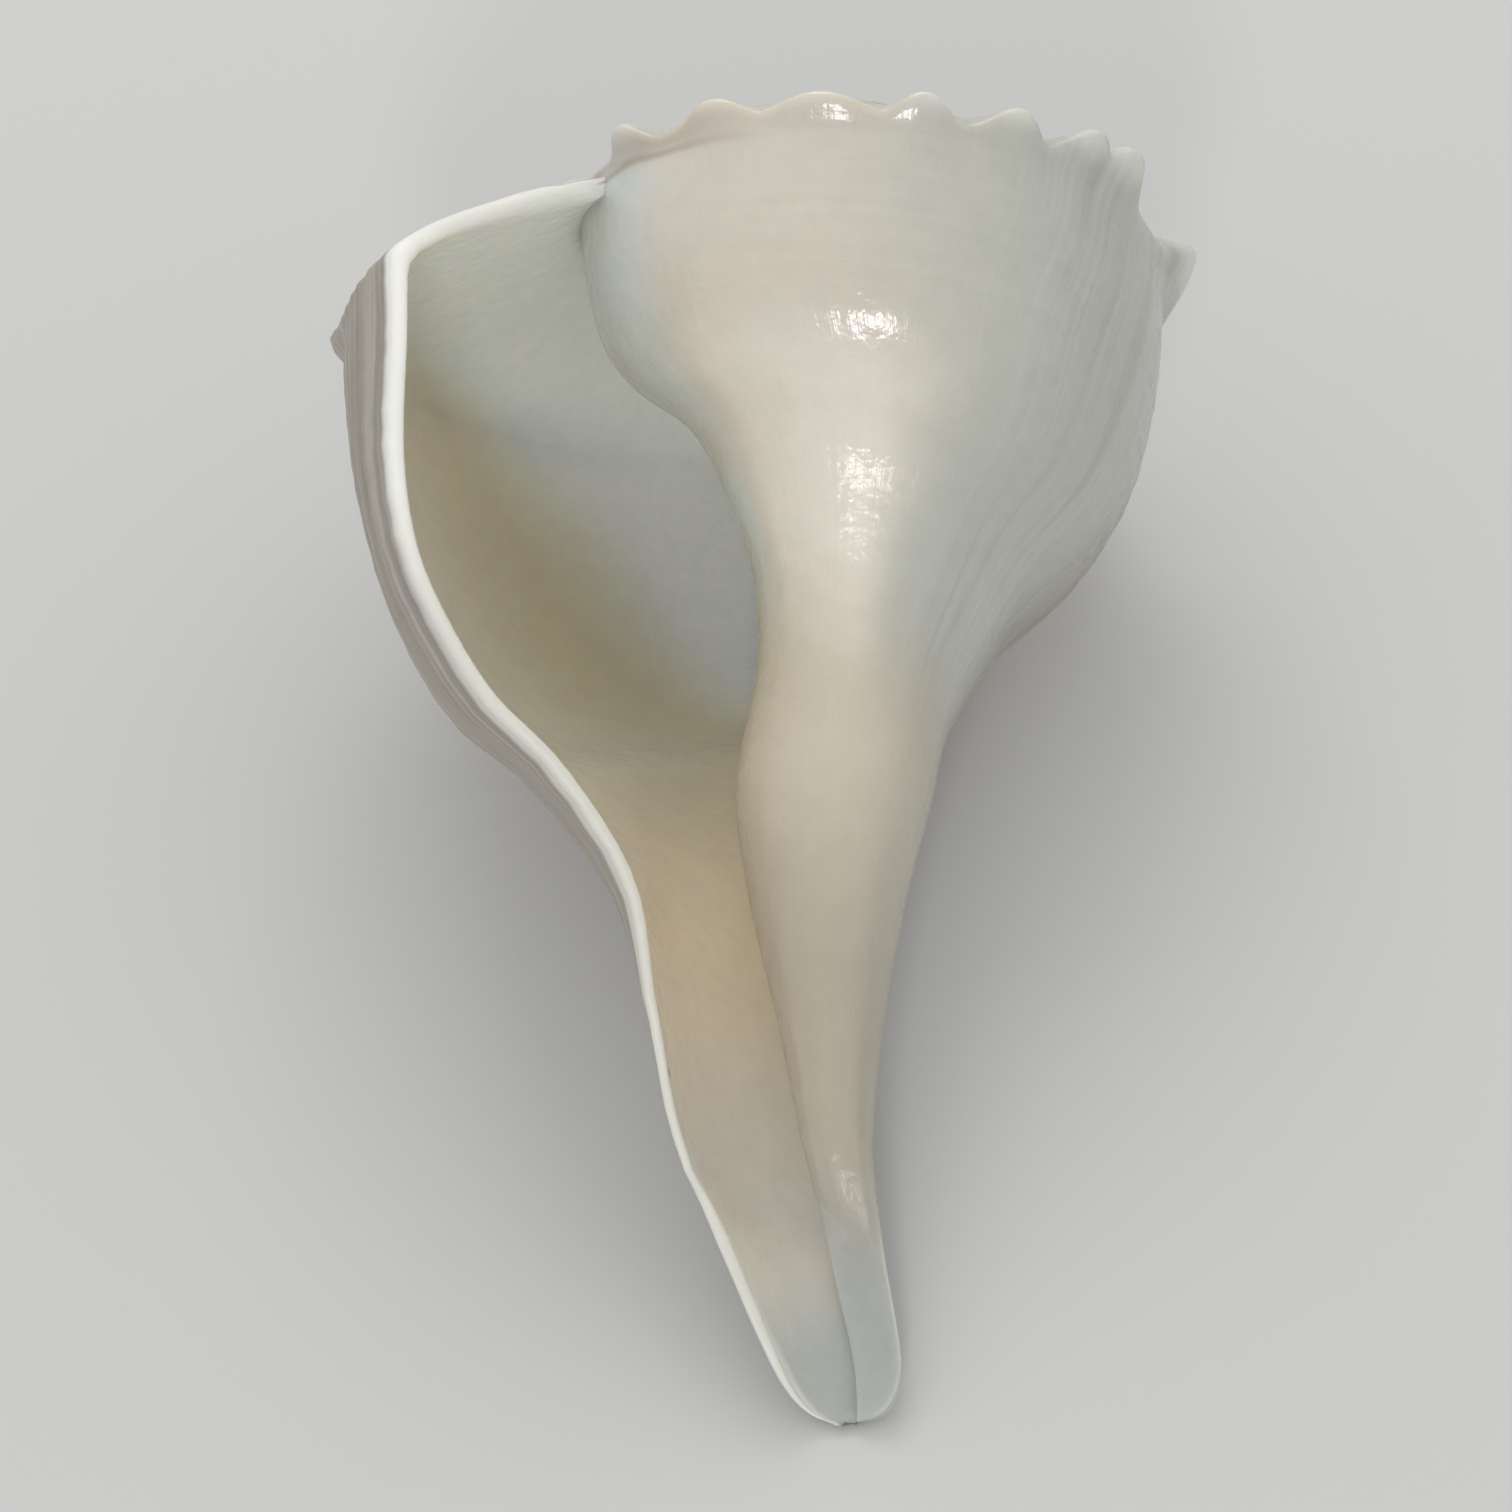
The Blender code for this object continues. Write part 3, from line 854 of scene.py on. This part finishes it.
    def lay_down(self, data: bpy.types.Mesh) -> None:
        """Turn the shell onto its back, set its apex in place and flatten what meets the floor.

        Args:
            data: The shell's mesh, in the growth frame.
        """
        pitch = Matrix.Rotation(math.radians(self.rest_pitch), 4, "X")
        roll = Matrix.Rotation(math.radians(self.rest_roll), 4, "Y")
        data.transform(Matrix.Translation(self.apex_place) @ pitch @ roll)
        points = np.empty(len(data.vertices) * 3, np.float32)
        data.vertices.foreach_get("co", points)
        points = points.reshape(-1, 3)
        points[:, 2] = np.maximum(points[:, 2], 0)
        data.vertices.foreach_set("co", points.ravel())
        data.update()


class Sock:
    """One output socket of a node, with Python's operators on it."""

    def __init__(self, tree: "NodeSheet", socket: bpy.types.NodeSocket) -> None:
        """Wrap a socket.

        Args:
            tree: The node tree that it is in.
            socket: The output socket.
        """
        self.tree = tree
        self.socket = socket

    def joined(self, operation: str, first: Any, second: Any) -> "Sock":
        """Join two values, vectors or colours.

        Args:
            operation: ADD, SUBTRACT or MULTIPLY.
            first: A wrapped socket, or a number, vector or colour.
            second: The same.

        Returns:
            The result's socket.
        """
        if self.socket.type == "RGBA":
            return self.tree.mix(1.0, first, second, operation)
        kind = "ShaderNodeVectorMath" if self.socket.type == "VECTOR" else "ShaderNodeMath"
        return self.tree.node(kind, {"operation": operation}, {0: first, 1: second})

    def __add__(self, other: Any) -> "Sock":
        """self + other."""
        return self.joined("ADD", self, other)

    def __radd__(self, other: Any) -> "Sock":
        """other + self."""
        return self.joined("ADD", other, self)

    def __sub__(self, other: Any) -> "Sock":
        """self - other."""
        return self.joined("SUBTRACT", self, other)

    def __rsub__(self, other: Any) -> "Sock":
        """other - self."""
        return self.joined("SUBTRACT", other, self)

    def __mul__(self, other: Any) -> "Sock":
        """self * other."""
        return self.joined("MULTIPLY", self, other)

    def __rmul__(self, other: Any) -> "Sock":
        """other * self."""
        return self.joined("MULTIPLY", other, self)

    def ramp(self, low: float, high: float) -> "Sock":
        """A smooth ramp from 0 to 1.

        Args:
            low: Where the ramp starts.
            high: Where the ramp ends.

        Returns:
            0 below low, 1 above high, and a smooth rise between them.
        """
        settings = {"interpolation_type": "SMOOTHSTEP", "clamp": True}
        inputs = {"Value": self, "From Min": low, "From Max": high}
        if low > high:
            inputs = {"Value": self, "From Min": high, "From Max": low, "To Min": 1.0, "To Max": 0.0}
        return self.tree.node("ShaderNodeMapRange", settings, inputs)

    def bump(self, centre: float, reach: float) -> "Sock":
        """1 at the centre, and a smooth fall to 0 at reach on both sides."""
        away = self.tree.node("ShaderNodeMath", {"operation": "ABSOLUTE"}, {0: self - centre})
        return away.ramp(reach, 0.0)


class NodeSheet:
    """The node tree of one material, with one method that adds any node."""

    def __init__(self, name: str) -> None:
        """Make a material with nothing but its shader.

        Args:
            name: The material's name.
        """
        self.material = bpy.data.materials.new(name)
        self.material.use_nodes = True
        self.tree = self.material.node_tree
        self.shader = self.tree.nodes["Principled BSDF"]

    def feed(self, socket: bpy.types.NodeSocket, value: Any) -> None:
        """Set an input socket, or link it.

        Args:
            socket: The input socket.
            value: A wrapped socket, a number, a vector or a colour.
        """
        if isinstance(value, Sock):
            self.tree.links.new(value.socket, socket)
            return
        if socket.type == "RGBA" and len(value) == 3:
            value = (*value, 1.0)
        socket.default_value = value

    def node(self, kind: str, settings: dict[str, Any], inputs: dict[Any, Any], output: int = 0) -> Sock:
        """Add a node.

        Args:
            kind: The node's type.
            settings: Its settings, which are set before its sockets.
            inputs: Values or links of its sockets, by name or by number.
            output: Which of its outputs to wrap.

        Returns:
            The wrapped output.
        """
        made = self.tree.nodes.new(kind)
        for name, value in settings.items():
            setattr(made, name, value)
        for name, value in inputs.items():
            self.feed(made.inputs[name], value)
        return Sock(self, made.outputs[output])

    def mix(self, factor: Any, first: Any, second: Any, blend: str = "MIX") -> Sock:
        """Mix two colours; the factor is how much of the second shows."""
        settings = {"data_type": "RGBA", "blend_type": blend}
        return self.node("ShaderNodeMix", settings, {0: factor, 6: first, 7: second}, 2)

    def place(self) -> Sock:
        """The place in the shell's own frame, in metres."""
        return self.node("ShaderNodeTexCoord", {}, {}, 3)

    def mark(self, name: str) -> Sock:
        """A value that the mesh holds at its face corners."""
        settings = {"attribute_type": "GEOMETRY", "attribute_name": name}
        return self.node("ShaderNodeAttribute", settings, {}, 2)

    def vector(self, x: Any, y: Any, z: Any) -> Sock:
        """A vector from three numbers or wrapped sockets."""
        return self.node("ShaderNodeCombineXYZ", {}, {0: x, 1: y, 2: z})

    def noise(self, place: Sock, scale: float, detail: float = 3.0, roughness: float = 0.5) -> Sock:
        """Noise of about 0 to 1 over a place, with finer layers as detail and roughness say."""
        inputs = {"Vector": place, "Scale": scale, "Detail": detail, "Roughness": roughness}
        return self.node("ShaderNodeTexNoise", {}, inputs)


class Over(Enum):
    """What a colour's fade runs over: a value that the mesh holds, or noise along the growth."""

    TURN = "turn"
    STATION = "station"
    KNOB = "knob"
    UNEVEN_TURN = "turn, with an uneven edge"
    UNEVEN_STATION = "station, with an uneven edge"
    UNEVEN_BAND = "degrees past the inner band's edge, with an uneven edge"
    BLOTCHES = "soft blotches"
    GLAZED_BANDS = "broad bands in the glaze"
    GLAZED_LINES = "fine lines in the glaze"
    INNER_LINES = "lines on the inner face"
    BROAD_STREAKS = "broad streaks on raw shell"
    NARROW_STREAKS = "narrow streaks on raw shell"
    THREADS = "spiral threads"


@dataclass(frozen=True)
class Layer:
    """A colour laid over those below it; each fade is (over, nothing here, full here)."""

    what: str
    colour: Colour
    share: float
    fades: tuple[tuple[Over, float, float], ...]


@dataclass(frozen=True)
class ShellFinish:
    """Glazed shell: cream to grey outside, streaked where it is raw, blue-grey and tan inside."""

    cream: Colour = (0.661, 0.621, 0.54)
    glaze_layers: tuple[Layer, ...] = (
        Layer("grey past the middle", (0.55, 0.55, 0.485), 1.0, ((Over.UNEVEN_TURN, 84, 124),)),
        # The right flank is a cooler grey of its own, and it is made darker as painted shade where it turns
        # away from the light.
        Layer("cooler right side with painted shade", (0.464, 0.477, 0.436), 1.0, ((Over.UNEVEN_TURN, 112, 152),)),
        Layer("pearl left side", (0.648, 0.684, 0.657), 1.0, ((Over.UNEVEN_TURN, 56, 36),)),
        Layer("blush", (0.666, 0.599, 0.508), 0.45, (
            (Over.BLOTCHES, 0.45, 0.7), (Over.UNEVEN_TURN, 130, 95),
        )),
        Layer("pale neck", (0.80, 0.76, 0.675), 1.0, (
            (Over.UNEVEN_STATION, 0.42, 0.56), (Over.UNEVEN_TURN, 44, 62), (Over.UNEVEN_TURN, 128, 100),
        )),
        Layer("olive bands", (0.378, 0.373, 0.315), 0.5, (
            (Over.GLAZED_BANDS, 0.5, 0.66), (Over.UNEVEN_TURN, 126, 150),
        )),
        Layer("white lines", (0.80, 0.80, 0.75), 0.12, (
            (Over.GLAZED_LINES, 0.42, 0.72), (Over.UNEVEN_TURN, 100, 150),
        )),
    )
    pillar: Colour = (0.63, 0.57, 0.465)
    pillar_layers: tuple[Layer, ...] = (
        # Painted shade: the low pillar is darkened for the light that falls off towards the canal.
        Layer("painted shade on the low pillar", (0.49, 0.435, 0.35), 1.0, ((Over.UNEVEN_STATION, 0.76, 0.88),)),
        # The pillar's right side has an olive tone of its own, and it is darkened further as painted shade.
        Layer("olive tone and painted shade on the pillar's right", (0.378, 0.373, 0.315), 0.6, ((Over.UNEVEN_TURN, 95, 165),)),
    )
    pillar_fade: tuple[float, float] = (0.65, 0.75)
    # The raw shell's beige is darkened as painted shade, for the flank behind the lip that lies in shade.
    beige_with_painted_shade: Colour = (0.31, 0.285, 0.24)
    raw_layers: tuple[Layer, ...] = (
        Layer("sand", (0.375, 0.345, 0.295), 1.0, ((Over.BROAD_STREAKS, 0.35, 0.65),)),
        Layer("mauve streaks", (0.257, 0.211, 0.18), 0.65, ((Over.NARROW_STREAKS, 0.52, 0.66),)),
        Layer("pale streaks", (0.522, 0.495, 0.441), 0.6, ((Over.NARROW_STREAKS, 0.47, 0.36),)),
        Layer("mauve threads", (0.257, 0.211, 0.18), 0.22, ((Over.THREADS, 0.55, 0.75),)),
    )
    outer_layers: tuple[Layer, ...] = (
        Layer("slope to the suture", (0.558, 0.513, 0.441), 0.5, ((Over.STATION, 0.155, 0.12),)),
        Layer("suture", (0.40, 0.31, 0.24), 0.7, ((Over.STATION, 0.018, 0.0),)),
        # Below the shoulder the brown-pink tint is deepened as painted shade in the crease between the
        # knobs and the glaze's edge.
        Layer("brown tint with painted crease shade below the shoulder", (0.40, 0.31, 0.24), 0.5, (
            (Over.STATION, 0.117, 0.172), (Over.STATION, 0.227, 0.172), (Over.TURN, 84, 46),
            (Over.TURN, 20, 30),
        )),
        Layer("crease line", (0.40, 0.31, 0.24), 0.6, (
            (Over.STATION, 0.184, 0.198), (Over.STATION, 0.212, 0.198), (Over.TURN, 84, 46),
            (Over.TURN, 20, 30),
        )),
    )
    knob_layers: tuple[Layer, ...] = (
        Layer("worn knobs", (0.80, 0.80, 0.75), 0.5, ((Over.KNOB, 0.35, 0.9),)),
    )
    # Painted light: the hollow's blue-grey, its paler part, the olive and the tan band are lightened toward
    # white to lift the shade deep in the hollow; their tints are the shell's own.
    inner_blue_with_painted_light: Colour = (0.88, 0.935, 0.92)
    depth_layers: tuple[Layer, ...] = (
        Layer("paler below", (0.95, 0.965, 0.94), 1.0, ((Over.STATION, 0.12, 0.30),)),
    )
    inner_olive: Colour = (0.88, 0.865, 0.77)
    olive_fade: tuple[float, float] = (-10.0, 4.0)
    below_shoulder: tuple[float, float] = (0.09, 0.17)
    olive_above: float = 0.25
    band_layers: tuple[Layer, ...] = (
        Layer("tan band", (0.84, 0.765, 0.575), 1.0, (
            (Over.UNEVEN_BAND, 0, 15), (Over.STATION, 0.09, 0.17),
        )),
        Layer("olive lip", (0.88, 0.865, 0.77), 0.45, ((Over.UNEVEN_BAND, 20, 48),)),
        Layer("white lines", (0.80, 0.80, 0.75), 0.08, ((Over.INNER_LINES, 0.4, 0.7),)),
    )
    canal: Colour = (0.84, 0.75, 0.58)
    canal_layers: tuple[Layer, ...] = (
        Layer("greyer low canal", (0.63, 0.60, 0.53), 1.0, ((Over.STATION, 0.74, 0.92),)),
    )
    canal_fade: tuple[float, float] = (0.55, 0.68)
    end_layers: tuple[Layer, ...] = (
        Layer("grey canal end", (0.475, 0.50, 0.475), 1.0, ((Over.STATION, 0.915, 0.965),)),
    )
    mottle: float = 0.10
    rim_bright: Colour = (0.92, 0.92, 0.88)
    rim_low: Colour = (0.71, 0.71, 0.66)
    rim_darkens: tuple[float, float] = (0.36, 0.52)
    rim_width: tuple[float, float] = (2.4 * MM, 0.8 * MM)
    rim_share: float = 0.9
    rim_lost_inside: float = 0.75
    rim_lost_at: tuple[float, float] = (0.15, 0.09)
    # A dark speck low on the lip, just behind its edge.
    speck_colour: Colour = (0.16, 0.15, 0.12)
    speck_share: float = 0.8
    speck_station: tuple[float, float] = (0.825, 0.006)
    speck_behind_lip: tuple[float, float] = (0.9 * MM, 1.4 * MM)
    raw_turns: tuple[float, float] = (190.0, 235.0)
    raw_early_turns: tuple[float, float] = (30.0, 8.0)
    raw_early_stations: tuple[float, float] = (0.30, 0.20)
    raw_early_share: float = 0.5
    glazed_roughness: float = 0.16
    raw_roughness: float = 0.46
    smudge_roughness: tuple[float, float] = (-0.05, 0.12)
    bump_depth: float = 0.25 * MM
    line_relief: tuple[float, float] = (0.12, 0.75)
    thread_relief: tuple[float, float] = (0.05, 0.35)
    dimple_relief: float = 0.50
    swell_relief: float = 0.55
    subsurface: float = 0.8
    subsurface_radius: tuple[float, float, float] = (1.0, 0.85, 0.66)
    subsurface_scale: float = 1.5 * MM

    def material(self) -> bpy.types.Material:
        """Build the shell's material.

        Returns:
            The material.
        """
        sheet = NodeSheet("glazed_shell")
        raw = self.rawness(sheet)
        shader = sheet.shader
        sheet.feed(shader.inputs["Base Color"], self.colour(sheet, raw))
        sheet.feed(shader.inputs["Roughness"], self.roughness(sheet, raw))
        sheet.feed(shader.inputs["Normal"], self.relief(sheet, raw))
        shader.inputs["Subsurface Weight"].default_value = self.subsurface
        shader.inputs["Subsurface Radius"].default_value = self.subsurface_radius
        shader.inputs["Subsurface Scale"].default_value = self.subsurface_scale
        return sheet.material

    def rawness(self, sheet: NodeSheet) -> Sock:
        """How unglazed a place is: 0 over the front and the inside, 1 round the back.

        Args:
            sheet: The material's nodes.

        Returns:
            A value from 0 to 1.
        """
        turn = sheet.mark("turn") + sheet.noise(sheet.place(), 60.0) * 30.0
        early = turn.ramp(*self.raw_early_turns) * sheet.mark("station").ramp(*self.raw_early_stations)
        raw = turn.ramp(*self.raw_turns) + early * self.raw_early_share
        return raw * (1.0 - sheet.mark("inside"))

    def streaks(self, sheet: NodeSheet, fine: float, detail: float) -> Sock:
        """Noise along earlier places of the lip's edge; fine is how many streaks a degree holds."""
        place = sheet.vector(sheet.mark("age") * fine, sheet.mark("station") * 1.6, 0.0)
        return sheet.noise(place, 1.0, detail, 0.55)

    def threads(self, sheet: NodeSheet) -> Sock:
        """Noise of about 0 to 1 that runs round the whorls as fine spiral threads."""
        place = sheet.vector(sheet.mark("age") * 0.02, sheet.mark("station") * 95.0, 3.0)
        return sheet.noise(place, 1.0, 3.0, 0.6)

    def readings(self, sheet: NodeSheet) -> dict[Over, Sock]:
        """Make what the fades run over.

        Args:
            sheet: The material's nodes.

        Returns:
            The socket for each choice.
        """
        place = sheet.place()
        turn = sheet.mark("turn")
        station = sheet.mark("station")
        return {
            Over.TURN: turn,
            Over.STATION: station,
            Over.KNOB: sheet.mark("knob"),
            Over.UNEVEN_TURN: turn + (sheet.noise(place, 45.0) - 0.5) * 26.0,
            Over.UNEVEN_STATION: station + (sheet.noise(place, 70.0) - 0.5) * 0.05,
            Over.UNEVEN_BAND: sheet.mark("band") + (sheet.noise(place, 40.0) - 0.5) * 9.0,
            Over.BLOTCHES: sheet.noise(place, 55.0, 2.0),
            Over.GLAZED_BANDS: self.streaks(sheet, 0.16, 2.0),
            Over.GLAZED_LINES: self.streaks(sheet, 0.9, 3.0),
            Over.INNER_LINES: self.streaks(sheet, 0.35, 3.0),
            Over.BROAD_STREAKS: self.streaks(sheet, 0.14, 3.0),
            Over.NARROW_STREAKS: self.streaks(sheet, 0.55, 4.0),
            Over.THREADS: self.threads(sheet),
        }

    def laid(
        self, sheet: NodeSheet, over: dict[Over, Sock], base: Any, layers: tuple[Layer, ...],
        mask: Any = 1.0,
    ) -> Sock:
        """Lay colours over a base.

        Args:
            sheet: The material's nodes.
            over: What the fades run over.
            base: The colour below, as a colour or a wrapped socket.
            layers: The layers, lowest first.
            mask: What every layer is held to, as a number or a wrapped socket.

        Returns:
            The colour on top.
        """
        for layer in layers:
            factor = mask * layer.share
            for choice, none, full in layer.fades:
                factor = over[choice].ramp(none, full) * factor
            base = sheet.mix(factor, base, layer.colour)
            base.socket.node.label = layer.what
        return base

    def outer(self, sheet: NodeSheet, over: dict[Over, Sock], raw: Sock) -> Sock:
        """Colour of the outer face, glazed in front and raw behind, with painted shade in some of its
        colours.

        Args:
            sheet: The material's nodes.
            over: What the fades run over.
            raw: How unglazed each place is.

        Returns:
            The colour.
        """
        body = self.laid(sheet, over, self.cream, self.glaze_layers)
        low = self.laid(sheet, over, self.pillar, self.pillar_layers)
        glazed = sheet.mix(over[Over.UNEVEN_STATION].ramp(*self.pillar_fade), body, low)
        face = sheet.mix(raw, glazed, self.laid(sheet, over, self.beige_with_painted_shade, self.raw_layers))
        face = self.laid(sheet, over, face, self.outer_layers, 1.0 - sheet.mark("inside"))
        return self.laid(sheet, over, face, self.knob_layers)

    def inner(self, sheet: NodeSheet, over: dict[Over, Sock]) -> Sock:
        """Colour of the inner face, from the lip's tan band to the blue-grey depth and the canal; the
        hollow's colours are lightened as painted light.

        Args:
            sheet: The material's nodes.
            over: What the fades run over.

        Returns:
            The colour.
        """
        deep = self.laid(sheet, over, self.inner_blue_with_painted_light, self.depth_layers)
        below = over[Over.STATION].ramp(*self.below_shoulder)
        olive = over[Over.UNEVEN_BAND].ramp(*self.olive_fade)
        olive = olive * (self.olive_above + (1 - self.olive_above) * below)
        walls = self.laid(sheet, over, sheet.mix(olive, deep, self.inner_olive), self.band_layers)
        floor = self.laid(sheet, over, self.canal, self.canal_layers)
        return sheet.mix(over[Over.STATION].ramp(*self.canal_fade), walls, floor)

    def colour(self, sheet: NodeSheet, raw: Sock) -> Sock:
        """The shell's colour: both faces, the canal's end, the lip's white rim and a dark speck.

        Args:
            sheet: The material's nodes.
            raw: How unglazed each place is.

        Returns:
            The colour.
        """
        over = self.readings(sheet)
        inside = sheet.mark("inside")
        station = over[Over.STATION]
        behind = sheet.mark("behind_lip")
        both = sheet.mix(inside, self.outer(sheet, over, raw), self.inner(sheet, over))
        both = self.laid(sheet, over, both, self.end_layers)
        both = both * (1.0 + (sheet.noise(sheet.place(), 300.0, 4.0) - 0.5) * self.mottle)
        lost = self.rim_lost_inside * station.ramp(*self.rim_lost_at) * inside
        edge = sheet.mix(station.ramp(*self.rim_darkens), self.rim_bright, self.rim_low)
        both = sheet.mix(behind.ramp(*self.rim_width) * (self.rim_share - lost), both, edge)
        speck = station.bump(*self.speck_station) * behind.bump(*self.speck_behind_lip)
        return sheet.mix(speck * self.speck_share, both, self.speck_colour)

    def roughness(self, sheet: NodeSheet, raw: Sock) -> Sock:
        """Roughness: the glaze is smooth with faint smudges, and raw shell is dull."""
        least, most = self.smudge_roughness
        smudges = sheet.noise(sheet.place(), 120.0, 3.0) * most
        return self.glazed_roughness + least + smudges + raw * (self.raw_roughness - self.glazed_roughness)

    def relief(self, sheet: NodeSheet, raw: Sock) -> Sock:
        """Fine relief: growth lines and spiral threads on raw shell, and faint dimples on glaze.

        Args:
            sheet: The material's nodes.
            raw: How unglazed each place is.

        Returns:
            The bumped normal.
        """
        glazed_line, raw_line = self.line_relief
        glazed_thread, raw_thread = self.thread_relief
        lines = self.streaks(sheet, 1.6, 4.0) * (glazed_line + raw_line * raw)
        threads = self.threads(sheet) * (glazed_thread + raw_thread * raw)
        dimples = sheet.noise(sheet.place(), 620.0, 2.0) * self.dimple_relief
        swells = sheet.noise(sheet.place(), 240.0, 2.0) * self.swell_relief
        height = lines + threads + dimples + swells
        inputs = {"Height": height, "Distance": self.bump_depth, "Strength": 1.0}
        return sheet.node("ShaderNodeBump", {}, inputs)


@dataclass(frozen=True)
class Surroundings:
    """Plain pale floor, soft studio light and the camera."""

    floor_colour: Colour = (0.62, 0.62, 0.61)
    floor_side: float = 6.0
    key_from: tuple[float, float, float] = (-0.08, 0.66, 0.75)
    key_distance: float = 0.9
    key_side: float = 0.45
    key_power: float = 1.5
    fill_from: tuple[float, float, float] = (-0.05, -0.84, 0.55)
    fill_distance: float = 1.4
    fill_side: float = 0.20
    fill_power: float = 3.5
    sky: float = 0.75
    lens: float = 137.506
    shift: tuple[float, float] = (-0.05133, 0.003407)
    camera_place: tuple[float, float, float] = (31.966 * MM, -429.657 * MM, 570.593 * MM)
    camera_turn: tuple[float, float, float] = (38.268, 2.742, -0.147)

    def build(self) -> None:
        """Make the floor, the lights, the sky and the camera."""
        self.floor()
        self.light("key", self.key_from, self.key_distance, self.key_side, self.key_power)
        self.light("fill", self.fill_from, self.fill_distance, self.fill_side, self.fill_power)
        world = bpy.data.worlds.new("studio")
        world.use_nodes = True
        world.node_tree.nodes["Background"].inputs["Color"].default_value = (1, 1, 1, 1)
        world.node_tree.nodes["Background"].inputs["Strength"].default_value = self.sky
        bpy.context.scene.world = world
        bpy.context.scene.view_settings.view_transform = "Standard"
        self.camera()

    def floor(self) -> None:
        """A plain pale sheet that the shell lies on."""
        half = self.floor_side / 2
        data = bpy.data.meshes.new("floor")
        corners = [(-half, -half, 0), (half, -half, 0), (half, half, 0), (-half, half, 0)]
        data.from_pydata(corners, [], [(0, 1, 2, 3)])
        floor = bpy.data.objects.new("floor", data)
        bpy.context.scene.collection.objects.link(floor)
        sheet = NodeSheet("pale_floor")
        sheet.shader.inputs["Base Color"].default_value = (*self.floor_colour, 1)
        sheet.shader.inputs["Roughness"].default_value = 0.8
        data.materials.append(sheet.material)

    def light(
        self, name: str, side: tuple[float, float, float], distance: float, size: float, power: float
    ) -> None:
        """Add a square soft light that faces the shell.

        Args:
            name: The light's name.
            side: Direction from the shell to the light.
            distance: How far off it is, in metres.
            size: Its side, in metres.
            power: Its power, in watts.
        """
        data = bpy.data.lights.new(name, "AREA")
        data.size = size
        data.energy = power
        light = bpy.data.objects.new(name, data)
        away = Vector(side).normalized()
        light.location = away * distance
        light.rotation_euler = away.to_track_quat("Z", "Y").to_euler()
        bpy.context.scene.collection.objects.link(light)

    def camera(self) -> None:
        """The camera, where the photograph was taken from."""
        data = bpy.data.cameras.new("camera")
        data.sensor_width = 36.0
        data.lens = self.lens
        data.shift_x, data.shift_y = self.shift
        camera = bpy.data.objects.new("camera", data)
        camera.location = self.camera_place
        camera.rotation_euler = Euler([math.radians(angle) for angle in self.camera_turn])
        bpy.context.scene.collection.objects.link(camera)
        bpy.context.scene.camera = camera


def main() -> None:
    """Build the shell, dress it and set it in its surroundings."""
    logging.basicConfig(level=logging.INFO, format="%(name)s: %(message)s")
    shell = ShellForm().build()
    shell.data.materials.append(ShellFinish().material())
    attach(shell, "root")
    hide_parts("shell")
    LOG.info("%s has %d faces", shell.name, len(shell.data.polygons))
    Surroundings().build()
    LOG.info("floor, lights and camera are in place")


if __name__ == "__main__":
    main()
